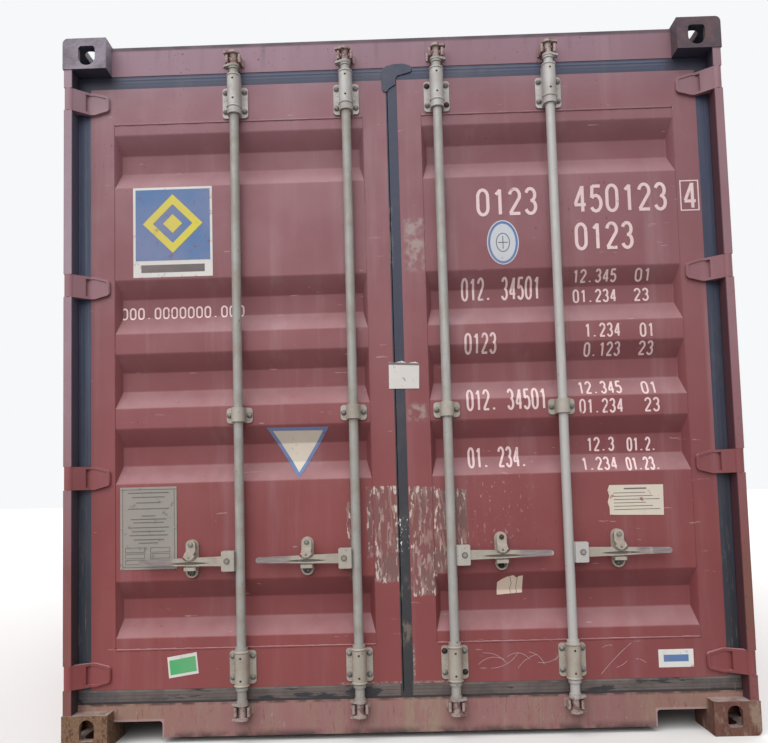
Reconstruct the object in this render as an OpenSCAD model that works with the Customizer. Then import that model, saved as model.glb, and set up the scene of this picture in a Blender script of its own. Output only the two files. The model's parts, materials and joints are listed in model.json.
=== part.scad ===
// Twenty foot dry freight container, seen from its doors.
// The door end faces -Y, the ground is z = 0 and the origin is under the middle of the box.

/* [Overall size] */
// Length over the corner castings
length = 6058; // [5200:1:7000]
// Width over the corner castings
width = 2438; // [2340:1:2600]
// Height over the corner castings
height = 2591; // [2530:1:2900]

/* [Corner castings] */
// Size of a casting along the container, and depth of the end frames
casting_l = 178; // [176:0.5:190]
// Size of a casting across the container
casting_w = 162; // [156:0.5:170]
// Height of a casting
casting_h = 118; // [116:0.5:124]
// Thickness of the outer walls of a casting
casting_wall = 16; // [12:0.5:18]
// Thickness of the plate round the locking slot
casting_plate = 28.5; // [24:0.5:32]
// Thickness of the closed inner walls of a casting
casting_back = 12; // [8:0.5:14]
// Radius of the rounded long edge of a casting
casting_round = 20; // [6:1:26]
// Length of the locking slot in the top and bottom
slot_l = 124.5; // [118:0.5:126]
// Width of the locking slot
slot_w = 63.5; // [58:0.5:66]
// Middle of the slot from the end of the container
slot_from_end = 102.5; // [98:0.5:106]
// Middle of the slot from the side of the container
slot_from_side = 89.5; // [84:0.5:94]
// Length of the hole in the side of a casting
side_hole_l = 101.5; // [90:0.5:104]
// Height of the holes in the side and the end
side_hole_h = 74; // [64:0.5:76]
// Width of the hole in the end of a top casting
top_end_hole_w = 62; // [50:0.5:66]
// Width of the hole in the end of a bottom casting
bottom_end_hole_w = 52; // [46:0.5:60]
// Middle of the side and end holes from the slotted face
hole_from_face = 67; // [65:0.5:69]

/* [Rear frame] */
// How far the posts and rails stay inside the castings at the sides
side_inset = 4; // [2:0.5:10]
// How far the post strip stays inside the castings at the end
strip_inset = 3; // [2:0.5:6]
// Width of the post strip that shows beside the door
strip_w = 29; // [26:0.5:34]
// Thickness of the pressed outer post
post_t = 6; // [4:0.5:8]
// Thickness of the rolled inner post
channel_t = 12; // [8:0.5:12]
// Thickness of the web of the inner post
channel_web = 8; // [6:0.5:10]
// Width of the rolled inner post
channel_w = 40; // [34:0.5:44]
// How far door leaves, header and sill lie behind the casting ends
gear_recess = 62; // [58:0.5:70]
// Thickness of header and sill plate
frame_plate = 4.5; // [3:0.5:6]
// Gap between the door recess and the stops behind it
stop_gap = 8; // [6:0.5:10]
// Height of the sill ledge over the ground
sill_h = 140; // [136:1:150]
// Height of the floor over the ground
floor_h = 160; // [156:1:170]
// Clear height of the base under the sill and cross members
base_gap = 20; // [12.5:0.5:24]
// How far the header top stays under the casting tops
header_drop = 6; // [6:0.5:14]
// Depth of the header face
header_h = 113; // [108:1:122]
// Height of the header stop under its face
header_stop = 32; // [28:1:40]
// Width of the cut-outs at both ends of the sill
sill_cut_w = 176; // [120:1:200]
// Height of those cut-outs over the underside of the sill
sill_cut_h = 58; // [40:1:62]
// Radius of their upper inner corner
sill_cut_r = 12; // [4:1:20]

/* [Door leaves] */
// Depth of a leaf frame
leaf_depth = 50; // [46:0.5:54]
// Wall of the tubes and pressings of a leaf frame
leaf_wall = 3; // [2:0.5:4]
// Width of the gasket at the hinge side
gasket_side = 47; // [44:0.5:50]
// Width of the gasket over and under a leaf
gasket_edge = 48; // [44:0.5:50]
// Half the width of the band between the leaves
centre_half = 21; // [19:0.5:24]
// Width of the lip that closes on the left leaf
centre_lip = 35; // [30:0.5:36]
// Running gap between gasket and frame
seal_gap = 1.5; // [0.5:0.5:2]
// Gap between the gaskets of both leaves
centre_gap = 3; // [2.5:0.5:4]
// Thickness of the gasket lip
lip_t = 5; // [3:0.5:6]
// Depth of the gasket body behind the lip
gasket_depth = 34; // [24:1:38]
// Width of the raised bead's edge on the gasket lip
bead_w = 7; // [5:0.5:9]
// How far the bead stays behind the leaf frame
bead_set = 1; // [0.5:0.5:3]
// How far the gasket body reaches past the leaf at the middle
body_lap = 14; // [10:1:16]
// How far that body stays behind the edge of its lip
body_set = 2; // [1:0.5:4]
// Gap between gasket body and door stops
body_gap = 5; // [4:0.5:7]
// Width of the outer stile of a leaf
outer_stile = 87; // [80:1:94]
// Width of the inner stile of a leaf
inner_stile = 86; // [80:1:92]
// Height of the bottom rail of a leaf
leaf_bottom_rail = 140; // [132:1:150]
// Height of the top rail of a leaf
leaf_top_rail = 139; // [132:1:150]
// How far the panel lies behind the leaf frame
panel_set = 2; // [0.5:0.5:4]
// Thickness of the door panel
panel_t = 2; // [1.5:0.25:3]

/* [Corrugated sheets] */
// Flat strip between the ends of a door panel and its outermost recesses
panel_end = 41; // [30:1:60]
// Width of the floor of a door or side recess
recess_floor = 70; // [60:1:76]
// Width of the sloping flank of a door or side recess
recess_flank = 67; // [50:1:69]
// Depth of a door or side recess
recess_depth = 36; // [20:1:38]
// Run of the sloping ends of a door recess
recess_end = 17; // [8:1:40]
// Spacing of the side wall recesses
side_pitch = 278; // [276:1:300]
// Thickness of the side wall sheet
side_t = 2; // [1.5:0.25:3]
// Spacing of the front wall recesses
front_pitch = 250; // [245:1:280]
// Width of the floor of a front wall recess
front_floor = 104; // [90:1:110]
// Width of the sloping flank of a front wall recess
front_flank = 18; // [10:1:24]
// Depth of a front wall recess
front_depth = 45.6; // [30:0.1:48]
// Thickness of the front wall sheet
front_t = 2; // [1.5:0.25:3]
// Spacing of the roof recesses
roof_pitch = 209; // [204:1:230]
// Width of the floor of a roof recess
roof_floor = 91; // [80:1:96]
// Width of the sloping flank of a roof recess
roof_flank = 13.5; // [8:0.5:16]
// Depth of a roof recess
roof_depth = 20; // [10:1:22]
// Thickness of the roof sheet
roof_t = 2; // [1.5:0.25:3]

/* [Rails, base and floor] */
// How far walls and top rails stay inside the posts
wall_set = 2; // [1:0.5:4]
// How far the roof stays under the header
roof_drop = 2; // [1:0.5:4]
// How far the roof's edge stays inside the outer face of the rails
roof_set = 14; // [8:1:20]
// Gap between the roof's recesses and the top rails
roof_clear = 4; // [3:0.5:8]
// Outside size of the square top rails
top_rail = 60; // [56:1:66]
// Wall of the top rails
top_rail_t = 3; // [2.5:0.5:5]
// Height of the bottom side rail's top edge over the ground
side_rail_top = 190; // [182:1:200]
// Height of its underside over the ground
side_rail_bottom = 30; // [24:1:40]
// Plate of the bottom side rail
side_rail_t = 4.5; // [3:0.5:6]
// Width of its top flange
side_rail_flange = 48; // [44:1:54]
// Width of its bottom flange
side_rail_foot = 30; // [20:1:40]
// Depth of the return of the front posts beside the wall
front_return = 52; // [52:1:60]
// Width of the foot of the front bottom rail
front_foot = 60; // [50:1:70]
// Chamfer on the corner of the front posts
front_chamfer = 26; // [16:1:32]
// Thickness of the plywood floor
floor_t = 28; // [26:1:30]
// Spacing of the cross members
member_pitch = 296; // [280:1:340]
// Distance of the end members from the end frames
member_end = 60; // [40:1:80]
// Width of the flanges of a cross member
member_w = 45; // [40:1:50]
// Plate of the cross members
member_t = 4; // [3:0.5:5]
// Distance between the middles of the fork pockets
pocket_spacing = 2060; // [2000:1:2100]
// Clear width of a fork pocket
pocket_w = 360; // [345:1:370]
// Plate of the fork pockets
pocket_t = 4; // [3:0.5:6]
// Width of the straps under the ends of a pocket
strap_w = 200; // [150:1:300]
// Thickness of those straps
strap_t = 6; // [5:0.5:8]
// Top of the ventilators under the top rails
vent_drop = 60; // [40:1:120]
// Height of a side wall ventilator
vent_h = 96; // [80:1:120]
// Depth of a side wall ventilator
vent_t = 24; // [14:1:30]
// Flat strip of the recess on both sides of a ventilator
vent_side = 2; // [1:0.5:6]
// Corner radius of a ventilator
vent_r = 8; // [4:1:12]

/* [Hinges] */
// Hinge axis from the side of the container
pin_from_side = 20; // [20:0.5:22]
// Hinge axis from the end of the container
pin_from_end = 20; // [20:0.5:22]
// Diameter of the hinge pins
pin_d = 20; // [16:0.5:22]
// Running clearance of a hinge pin
pin_gap = 0.5; // [0.3:0.1:0.8]
// Outside diameter of a hinge knuckle
knuckle_d = 37; // [34:0.5:38]
// Height of a hinge blade at its knuckle
blade_h = 84; // [76:1:90]
// Height of a hinge blade at its tip
blade_tip_h = 62; // [50:1:70]
// Thickness of a hinge blade
blade_t = 12; // [9:0.5:13]
// Thickness of the rims along the edges of a blade
rim_t = 3; // [1:0.5:4]
// Width of those rims
rim_w = 9; // [6:0.5:12]
// Distance from the hinge axis to the tip of a blade
blade_l = 135; // [125:1:140]
// Distance from the hinge axis to where a blade starts to narrow
blade_neck = 80; // [72:1:90]
// Distance from the hinge axis to where the back of a blade meets the leaf
blade_seat = 60; // [56:1:64]
// Corner radius at the tip of a blade
blade_r = 16; // [12:1:24]
// Bevel along the tip of a blade
blade_bevel = 4; // [2:0.5:6]
// Middle of the lowest hinge over the ground
hinge_low = 247; // [240:1:256]
// Middle of the highest hinge under the container's top
hinge_high = 229; // [224:1:240]
// Thickness of the lugs that hold a pin
lug_t = 12; // [8:1:14]
// Play between a knuckle and its lugs
lug_gap = 0.5; // [0.5:0.5:2]
// How far the lugs reach behind their knuckle
lug_back = 4; // [2:0.5:6]

/* [Locking gear] */
// Distance of the inner lock rods from the middle
inner_rod = 170; // [165:1:180]
// Distance of the outer lock rods from the middle
outer_rod = 588; // [580:1:596]
// Diameter of a lock rod
rod_d = 34; // [30:0.5:34]
// Distance of a rod's axis in front of the leaf
rod_off = 30; // [29:0.5:31]
// Running clearance round a rod
rod_gap = 0.5; // [0.5:0.25:1.5]
// Height of the collars over and under the lowest brackets
collar_h = 15; // [10:1:16]
// Play between a collar and its bracket
collar_gap = 0.5; // [0.5:0.5:2]
// Outside diameter of the bracket barrels
barrel_d = 50; // [46:0.5:52]
// Width of a rod bracket
bracket_w = 95; // [90:1:100]
// Height of the plate of a large rod bracket
bracket_h = 117; // [104:1:120]
// Thickness of the plate of a rod bracket
bracket_t = 6; // [4:0.5:8]
// Corner radius of a rod bracket
bracket_r = 12; // [6:1:16]
// Edge of a large bracket from the edge of the leaf
bracket_in = 14; // [10:1:18]
// Length of the top barrel over its plate
barrel_over = 33; // [20:1:36]
// Height of the middle clamp of a rod
clamp_h = 56; // [48:1:58]
// How far the barrels end short of the edges of their plates
barrel_set = 2; // [1:0.5:4]
// Height of a rod cam
cam_h = 60; // [54:1:64]
// Thickness of the two plates of a cam near its stem
cam_plate = 10; // [8:0.5:11]
// Thickness of those plates at their edges
cam_edge = 6; // [4:0.5:8]
// Width of a cam's wing at its end
cam_end = 18; // [12:1:24]
// Reach of a cam on its handle side
cam_wing = 36; // [30:1:38]
// Radius of a cam on its other side
cam_back = 22; // [18:0.5:23]
// Radius of a cam's stem
cam_stem = 13; // [11:0.5:14]
// Clearance between a cam and its keeper
keeper_gap = 5; // [5:0.5:6]
// Thickness of a keeper's horns
horn_t = 11; // [8:1:13]
// Thickness of a keeper's base
keeper_base = 5; // [4:0.5:6]
// How far a keeper's horns reach past the rod's axis
horn_reach = 8; // [6:1:10]
// How far a keeper's base reaches past its horns
keeper_foot = 6; // [4:1:10]
// How far a rod's end reaches past the frame edge of header or sill
rod_reach = 3; // [1:1:6]
// Height of the ring between a rod and its cam
ring_h = 8; // [6:0.5:12]
// How far that ring stands proud of the rod
ring_proud = 3; // [2:0.5:4]
// How far the collars stand proud of the rod
collar_proud = 5; // [3:0.5:6]
// Middle of the handles over the ground
handle_z = 643; // [640:1:650]
// Reach of a handle from the rod's axis
handle_l = 360; // [340:1:370]
// Height of a handle at its hub
handle_h = 36; // [32:1:38]
// Height of a handle at its tip
handle_tip = 20; // [16:1:24]
// Thickness of a handle
handle_t = 10; // [8:0.5:10]
// Depth of the notch in a handle behind its catch
notch_depth = 14; // [12:0.5:15]
// Half the length of that notch
notch_half = 27; // [27:1:40]
// Length of the pressed groove in the face of a handle
groove_l = 140; // [120:1:160]
// Height of that groove
groove_h = 9; // [6:0.5:10]
// Depth of that groove
groove_depth = 3; // [1:0.5:4]
// Middle of that groove under the middle of the handle
groove_down = 5; // [4:0.5:6]
// Reach of a hub from the rod's axis
hub_l = 64; // [56:1:70]
// Thickness of a hub's plate in front of its handle
hub_plate = 5; // [4:0.5:6]
// Thickness of a hub between its rod and the root of its handle
hub_web = 7; // [5:0.5:9]
// Thickness of a hub behind its handle
hub_back = 11; // [9:0.5:12]
// Corner radius of a hub
hub_r = 5; // [2:0.5:8]
// Diameter of the bolt that joins a handle to its hub
bolt_d = 12; // [10:0.5:14]
// Height of that bolt's head
bolt_head = 4; // [3:0.5:5]
// Height of a hub
hub_h = 72; // [64:1:76]
// Distance of a catch from the rod's axis
catch_off = 179; // [175:1:184]
// Height of a catch's rivet over the handle's middle
rivet_up = 60; // [59:0.5:64]
// Diameter of a catch's rivet
rivet_d = 12; // [8:1:14]
// Height of a rivet's head, and how far it reaches past the shank
rivet_head = 3; // [2:0.5:4]
// Clearance between a catch and its handle
catch_gap = 5; // [5:0.5:6]
// Thickness of a catch
catch_t = 4; // [3:0.5:4.5]
// Width of a catch's tab
catch_w = 42; // [34:1:46]
// Width of a catch round its rivet
catch_neck = 34; // [28:1:36]
// Width of the end of a catch's tab
catch_end = 16; // [10:1:18]
// Diameter of the seal hole in a catch
seal_hole = 8; // [6:0.5:9]
// Distance from a handle's back to the front of its retainer's boss
boss_room = 12; // [10:0.5:14]
// Thickness of the plate of a handle retainer
retainer_t = 5; // [4:0.5:6]
// Width of a handle retainer
retainer_w = 45; // [42:1:50]
// Height of a handle retainer
retainer_h = 137; // [130:1:140]
// Middle of a handle retainer over the middle of its handle
retainer_up = 9; // [6:0.5:12]
// Diameter of the boss behind a catch
boss_d = 30; // [24:1:32]
// Thickness of the shelf under a handle
shelf_t = 12; // [8:1:14]
// Radius of the nose of that shelf
shelf_r = 8; // [6:1:9]
// How far the shelf reaches under its handle, without its nose
shelf_lap = 2; // [0:0.5:4]
// Thickness of the rim round the pocket under the shelf
pocket_rim = 6; // [4:0.5:8]

/* [Hidden] */
$fn = 48;

half_l = length / 2;
half_w = width / 2;
paint = "#8d5558";
steel = "#a8a69f";
rubber = "#454a57";
// Planes at the door end, from the end of the castings inwards
rear = -half_l;
leaf_front = rear + gear_recess;
leaf_back = leaf_front + leaf_depth;
stop_front = leaf_front + stop_gap;
frame_back = rear + casting_l;
// The space between the two post strips
strip_in = half_w - side_inset - strip_w;
opening_half = half_w - side_inset - post_t - channel_w;
header_top = height - header_drop;
header_bottom = header_top - header_h;
opening_top = header_bottom - header_stop;
// A leaf without its gasket
leaf_outer = strip_in - seal_gap - gasket_side;
leaf_inner = centre_half;
leaf_low = sill_h + seal_gap + gasket_edge;
leaf_high = header_bottom - seal_gap - gasket_edge;
panel_low = leaf_low + leaf_bottom_rail;
panel_high = leaf_high - leaf_top_rail;
panel_middle = (panel_low + panel_high) / 2;
// Recess rows of a door panel, in pitches from its middle: two places stay flat
door_rows = [-3, -1, 0, 1, 3];
recess_half = recess_floor / 2 + recess_flank;
door_pitch = (panel_high - panel_middle - panel_end - recess_half) / max(door_rows);
// Planes at the front end and between the castings
between_castings = half_w - casting_w;
rail_half_l = half_l - casting_l;
roof_top = header_top - roof_drop;
top_rail_top = roof_top - roof_t;
top_rail_low = top_rail_top - top_rail;
wall_inset = side_inset + wall_set;
wall_front = half_l - wall_inset;
// Inner faces of the bottom side rail's web and foot
rail_in = half_w - side_inset - side_rail_t;
foot_in = half_w - side_inset - side_rail_foot;
floor_low = floor_h - floor_t;
// Hinges and rods
pin_l = blade_h + 2 * lug_gap + 2 * lug_t;
// Room for a knuckle behind its pin, and for a blade that swings round the side
knuckle_room = 9;
blade_room = 10;
// Room between a cross member and a fork pocket
member_room = 2;
pin_x = half_w - pin_from_side;
pin_y = rear + pin_from_end;
hinge_count = 4;
hinge_step = (height - hinge_high - hinge_low) / (hinge_count - 1);
hinge_zs = [for (i = [0 : hinge_count - 1]) hinge_low + i * hinge_step];
rod_y = leaf_front - rod_off;
rod_xs = [-outer_rod, -inner_rod, inner_rod, outer_rod];
rod_low = sill_h + rod_reach;
rod_high = header_bottom + rod_reach;
top_bracket_z = leaf_high - bracket_in - bracket_h;
bottom_bracket_z = leaf_low + bracket_in;
clamp_z = panel_middle - door_pitch / 2;
handle_front = rod_y - rod_d / 2;
handle_back = handle_front + handle_t;
hub_slot = rod_d / 2 + hub_web;
handle_root = hub_slot + pin_gap;
boss_front = handle_back + boss_room;
panel_front = leaf_front + panel_set;
rivet_z = handle_z + rivet_up;
bolt_x = (hub_slot + hub_l) / 2;
// Play between a catch's end and its notch beside their gap, and the slope of a catch over its handle
notch_play = 2;
bend_angle = 19;

// Height of a handle at a distance from the rod's axis
function handle_height(x) = handle_h - (handle_h - handle_tip) * (x - handle_root)
  / (handle_l - handle_tip / 2 - handle_root);

// Helpers

module block(x, y, z) {
  translate([x[0], y[0], z[0]]) cube([x[1] - x[0], y[1] - y[0], z[1] - z[0]]);
}

module both_sides() {
  for (side = [0, 1]) mirror([side, 0, 0]) children();
}

module both_ends() {
  for (end = [0, 1]) mirror([0, end, 0]) children();
}

// Runs a profile drawn in (y, z) along x
module along_x(from, to) {
  translate([from, 0, 0]) rotate([90, 0, 90]) linear_extrude(to - from) children();
}

// Runs a profile drawn in (x, z) along y
module along_y(from, to) {
  translate([0, to, 0]) rotate([90, 0, 0]) linear_extrude(to - from) children();
}

// Runs a profile drawn in (x, y) along z
module along_z(from, to) {
  translate([0, 0, from]) linear_extrude(to - from) children();
}

module rect(x, y) {
  translate([x[0], y[0]]) square([x[1] - x[0], y[1] - y[0]]);
}

module round_rect(w, h, r) {
  square([w - 2 * r, h], center = true);
  square([w, h - 2 * r], center = true);
  for (x = [-1, 1], y = [-1, 1]) translate([x * (w / 2 - r), y * (h / 2 - r)]) circle(r);
}

module stadium(l, w) {
  square([l - w, w], center = true);
  for (end = [-1, 1]) translate([end * (l - w) / 2, 0]) circle(w / 2);
}

// The line of a corrugated sheet in (run, depth), with a recess at each centre
function corrugated_line(from, to, centres, bottom, flank, depth) = [
  [from, 0],
  for (c = centres) each [
    [c - bottom / 2 - flank, 0],
    [c - bottom / 2, depth],
    [c + bottom / 2, depth],
    [c + bottom / 2 + flank, 0]
  ],
  [to, 0]
];

function swapped(line) = [for (p = line) [p[1], p[0]]];

function moved(line, shift) = [for (p = line) p + shift];

function reversed(line) = [for (i = [len(line) - 1 : -1 : 0]) line[i]];

// Centres of as many recesses as fit between two places, spread about their middle
function centres(from, to, pitch) = let(n = floor((to - from) / pitch), middle = (from + to) / 2)
  [for (i = [0 : n - 1]) middle + (i - (n - 1) / 2) * pitch];

module sheet(line, thickness) {
  polygon(concat(line, reversed(moved(line, thickness))));
}

// Corner castings

module end_hole(w) {
  // A shield: straight at the slotted side, rounded at the other
  h = side_hole_h;
  rect([-w / 2, w / 2], [-h / 2 + w / 5, h / 2 - w / 2]);
  translate([0, h / 2 - w / 2]) circle(w / 2);
  rect([-w / 2 + w / 5, w / 2 - w / 5], [-h / 2, 0]);
  for (x = [-1, 1]) translate([x * (w / 2 - w / 5), -h / 2 + w / 5]) circle(w / 5);
}

// A bottom casting whose outer corner is at the origin, growing along x, y and z
module casting(end_hole_w) {
  inner_w = casting_w - casting_wall - casting_back;
  inner_l = casting_l - casting_wall - casting_back;
  inner_h = casting_h - casting_plate - casting_back;
  difference() {
    along_y(0, casting_l) {
      rect([casting_round, casting_w], [0, casting_h]);
      rect([0, casting_w], [casting_round, casting_h]);
      translate([casting_round, casting_round]) circle(casting_round);
    }
    translate([casting_wall, casting_wall, casting_plate]) cube([inner_w, inner_l, inner_h]);
    along_z(-1, casting_plate + 1)
      translate([slot_from_side, slot_from_end]) rotate(90) stadium(slot_l, slot_w);
    along_y(-1, casting_wall + 1) translate([slot_from_side, hole_from_face]) end_hole(end_hole_w);
    along_x(-1, casting_wall + 1)
      translate([casting_l / 2, hole_from_face]) stadium(side_hole_l, side_hole_h);
  }
}

module bottom_castings() {
  color("#7d6a5f") both_sides() both_ends()
    translate([-half_w, -half_l, 0]) casting(bottom_end_hole_w);
}

module top_castings() {
  color("#7f7a7c") both_sides() both_ends()
    translate([-half_w, -half_l, height]) mirror([0, 0, 1]) casting(top_end_hole_w);
}

// Rear frame

module rear_post_plan() {
  side_x = -half_w + side_inset;
  strip_y = rear + strip_inset;
  post_back = frame_back;
  web_x = -strip_in;
  rect([side_x, side_x + post_t], [strip_y, post_back]);
  rect([side_x, web_x], [strip_y, strip_y + post_t]);
  rect([web_x - post_t, web_x], [strip_y, stop_front + channel_t]);
  rect([side_x + post_t, -opening_half], [stop_front, stop_front + channel_t]);
  rect([side_x + post_t, side_x + post_t + channel_web], [stop_front, post_back]);
  rect([side_x + post_t, -opening_half], [post_back - channel_t, post_back]);
}

// Room for a knuckle and its blade, and for the blade swung round the side
module hinge_notch(z) {
  half_h = blade_h / 2 + lug_gap;
  outside = -half_w - 1;
  block([outside, -strip_in + 1], [rear - 1, pin_y + knuckle_d / 2 + knuckle_room],
    [z - half_h, z + half_h]);
  block([outside, -half_w + side_inset + post_t], [rear - 1, leaf_front + blade_room],
    [z - half_h, z + half_h]);
}

module rear_post() {
  color(paint) difference() {
    along_z(casting_h, height - casting_h) rear_post_plan();
    for (z = hinge_zs) hinge_notch(z);
    for (z = hinge_zs) translate([-pin_x, pin_y, z]) cylinder(d = pin_d, h = pin_l, center = true);
  }
}

module rear_post_left() {
  rear_post();
}

module rear_post_right() {
  mirror([1, 0, 0]) rear_post();
}

// Pins with the lugs that hold them over and under each knuckle
module hinge_pins() {
  lug_x = [-half_w + side_inset + post_t, -strip_in - post_t];
  lug_y = [rear + strip_inset + post_t, pin_y + knuckle_d / 2 + lug_back];
  color(paint) both_sides() for (z = hinge_zs) {
    for (end = [-1, 1]) {
      lug_z = z + end * (blade_h / 2 + lug_gap + lug_t / 2);
      block(lug_x, lug_y, [lug_z - lug_t / 2, lug_z + lug_t / 2]);
    }
    translate([-pin_x, pin_y, z])
      cylinder(d = pin_d, h = pin_l, center = true);
  }
}

module door_header() {
  t = frame_plate;
  stop_back = stop_front + t;
  color(paint) {
    along_x(-between_castings, between_castings) difference() {
      polygon([
        [leaf_front, header_top], [leaf_front, header_bottom], [stop_front, header_bottom],
        [stop_front, opening_top], [frame_back, opening_top], [frame_back, header_top]
      ]);
      polygon([
        [leaf_front + t, header_top - t], [leaf_front + t, header_bottom + t],
        [stop_back, header_bottom + t], [stop_back, opening_top + t],
        [frame_back - t, opening_top + t], [frame_back - t, header_top - t]
      ]);
    }
    // Under the castings the stop runs on to the inner posts
    both_sides() along_x(-opening_half, -between_castings)
      square_tube([stop_front, frame_back], [opening_top, height - casting_h], t);
  }
}

module sill_profile() {
  t = frame_plate;
  difference() {
    polygon([
      [leaf_front, base_gap], [leaf_front, sill_h], [stop_front, sill_h],
      [stop_front, floor_h], [frame_back, floor_h], [frame_back, base_gap]
    ]);
    polygon([
      [leaf_front + t, base_gap + t], [leaf_front + t, sill_h - t], [stop_front + t, sill_h - t],
      [stop_front + t, floor_h - t], [frame_back + 1, floor_h - t], [frame_back + 1, base_gap + t]
    ]);
  }
}

module door_sill() {
  t = frame_plate;
  cut_x = between_castings - sill_cut_w;
  cut_top = base_gap + sill_cut_h;
  cut_y = [leaf_front - 1, frame_back + 1];
  outside = -between_castings - 1;
  color(paint) {
    difference() {
      along_x(-between_castings, between_castings) sill_profile();
      both_sides() {
        block([outside, -cut_x - sill_cut_r], cut_y, [base_gap - 1, cut_top]);
        block([outside, -cut_x], cut_y, [base_gap - 1, cut_top - sill_cut_r]);
        along_y(cut_y[0], cut_y[1])
          translate([-cut_x - sill_cut_r, cut_top - sill_cut_r]) circle(sill_cut_r);
      }
    }
    // Over the castings its ledge runs on to the post webs and its step to the inner posts
    both_sides() {
      block([-strip_in, -between_castings], [leaf_front, stop_front], [casting_h, sill_h]);
      along_x(-opening_half, -between_castings) {
        rect([stop_front, stop_front + t], [casting_h, floor_h]);
        rect([stop_front, frame_back], [floor_h - t, floor_h]);
      }
    }
  }
}

// A keeper's base and its two horns, for a rod axis at x = 0 and a cam that starts at z = 0
module cam_keeper() {
  horn_z = [cam_plate + keeper_gap, cam_h - cam_plate - keeper_gap];
  horn_x = cam_stem + keeper_gap;
  horn_tip = rod_y - horn_reach;
  base_front = leaf_front - keeper_base;
  base_half = horn_x + horn_t + keeper_foot;
  block([-base_half, base_half], [base_front, leaf_front], horn_z);
  for (side = [0, 1]) mirror([side, 0, 0]) along_z(horn_z[0], horn_z[1]) {
    rect([horn_x, horn_x + horn_t], [horn_tip, base_front]);
    translate([horn_x + horn_t / 2, horn_tip]) circle(horn_t / 2);
  }
}

module cam_keepers() {
  color(steel) for (x = rod_xs) {
    translate([x, 0, rod_low - cam_h]) cam_keeper();
    translate([x, 0, rod_high]) cam_keeper();
  }
}

// Front frame

module front_post_plan() {
  a = -half_w + side_inset;
  b = half_l - side_inset;
  t = post_t;
  c = front_chamfer;
  inner_c = c + t * tan(22.5);
  right = -between_castings;
  return_end = b - front_return;
  polygon([
    [a, rail_half_l], [a, b - c], [a + c, b], [right, b], [right, return_end], [right - t, return_end],
    [right - t, b - t], [a + inner_c, b - t], [a + t, b - inner_c], [a + t, rail_half_l]
  ]);
}

module front_posts() {
  color(paint) both_sides() along_z(casting_h, height - casting_h) front_post_plan();
}

module square_tube(x, z, t) {
  difference() {
    rect(x, z);
    rect([x[0] + t, x[1] - t], [z[0] + t, z[1] - t]);
  }
}

module front_top_rail() {
  color(paint) along_x(-between_castings, between_castings)
    square_tube([wall_front - top_rail, wall_front], [top_rail_low, top_rail_top], top_rail_t);
}

module front_bottom_rail() {
  t = side_rail_t;
  color(paint) along_x(-between_castings, between_castings) {
    rect([wall_front - t, wall_front], [base_gap, floor_h]);
    rect([wall_front - front_foot, wall_front], [base_gap, base_gap + t]);
    rect([rail_half_l, wall_front], [floor_h - t, floor_h]);
  }
}

// Side rails, walls and roof

module top_side_rails() {
  a = -half_w + wall_inset;
  color(paint) both_sides() along_y(-rail_half_l, rail_half_l)
    square_tube([a, a + top_rail], [top_rail_low, top_rail_top], top_rail_t);
}

module bottom_side_rail() {
  a = -half_w + side_inset;
  t = side_rail_t;
  difference() {
    along_y(-rail_half_l, rail_half_l) {
      rect([a, a + t], [side_rail_bottom, side_rail_top]);
      rect([a, a + side_rail_flange], [side_rail_top - t, side_rail_top]);
      rect([a, a + side_rail_foot], [side_rail_bottom, side_rail_bottom + t]);
    }
    for (end = [-1, 1]) {
      y = end * pocket_spacing / 2;
      block([a - 1, a + side_rail_foot + 1], [y - pocket_w / 2, y + pocket_w / 2],
        [base_gap, floor_low - pocket_t]);
    }
  }
}

module bottom_side_rails() {
  color(paint) both_sides() bottom_side_rail();
}

module side_wall() {
  places = centres(-rail_half_l, rail_half_l, side_pitch);
  line = corrugated_line(-rail_half_l, rail_half_l, places, recess_floor, recess_flank, recess_depth);
  color(paint) along_z(side_rail_top, top_rail_low)
    translate([-half_w + wall_inset, 0]) sheet(swapped(line), [side_t, 0]);
}

module side_wall_left() {
  side_wall();
}

module side_wall_right() {
  mirror([1, 0, 0]) side_wall();
}

module front_wall() {
  right = between_castings;
  places = centres(-right, right, front_pitch);
  line = corrugated_line(-right, right, places, front_floor, front_flank, front_depth);
  color(paint) along_z(floor_h, top_rail_low)
    translate([0, wall_front]) mirror([0, 1]) sheet(line, [0, front_t]);
}

// Flat strips lie on the side rails, and the sheet between them has its recesses behind the front rail
module roof() {
  edge = half_w - wall_inset - roof_set;
  inner = half_w - wall_inset - top_rail - roof_clear;
  to = wall_front - roof_set;
  places = centres(frame_back, wall_front - top_rail, roof_pitch);
  line = corrugated_line(frame_back, to, places, roof_floor, roof_flank, roof_depth);
  color(paint) difference() {
    union() {
      along_x(-inner, inner) translate([0, roof_top]) mirror([0, 1]) sheet(line, [0, roof_t]);
      both_sides() block([inner, edge], [frame_back, to], [roof_top - roof_t, roof_top]);
    }
    both_sides() block([between_castings, half_w], [rail_half_l, half_l], [height - casting_h, height]);
  }
}

// Base

module floor() {
  color("#8a7256") block([-rail_in, rail_in], [frame_back, rail_half_l], [floor_low, floor_h]);
}

// Cross members keep clear of the fork pockets
function member_places(from, to) = let(n = floor((to - from) / member_pitch), middle = (from + to) / 2)
  [for (i = [0 : n]) middle + (i - n / 2) * member_pitch];

function clear_of_pockets(y) =
  abs(abs(y + member_w / 2) - pocket_spacing / 2) > pocket_w / 2 + pocket_t + member_w / 2 + member_room;

module member_profile() {
  rect([0, member_t], [base_gap, floor_low]);
  rect([0, member_w], [base_gap, base_gap + member_t]);
  rect([0, member_w], [floor_low - member_t, floor_low]);
}

module cross_members() {
  from = frame_back + member_end;
  to = rail_half_l - member_end;
  color(paint) for (y = member_places(from, to)) if (clear_of_pockets(y)) translate([0, y, 0])
    difference() {
      along_x(-rail_in, rail_in) member_profile();
      both_sides()
        block([foot_in, rail_in + 1], [-1, member_w + 1], [base_gap - 1, side_rail_bottom + side_rail_t]);
    }
}

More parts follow.
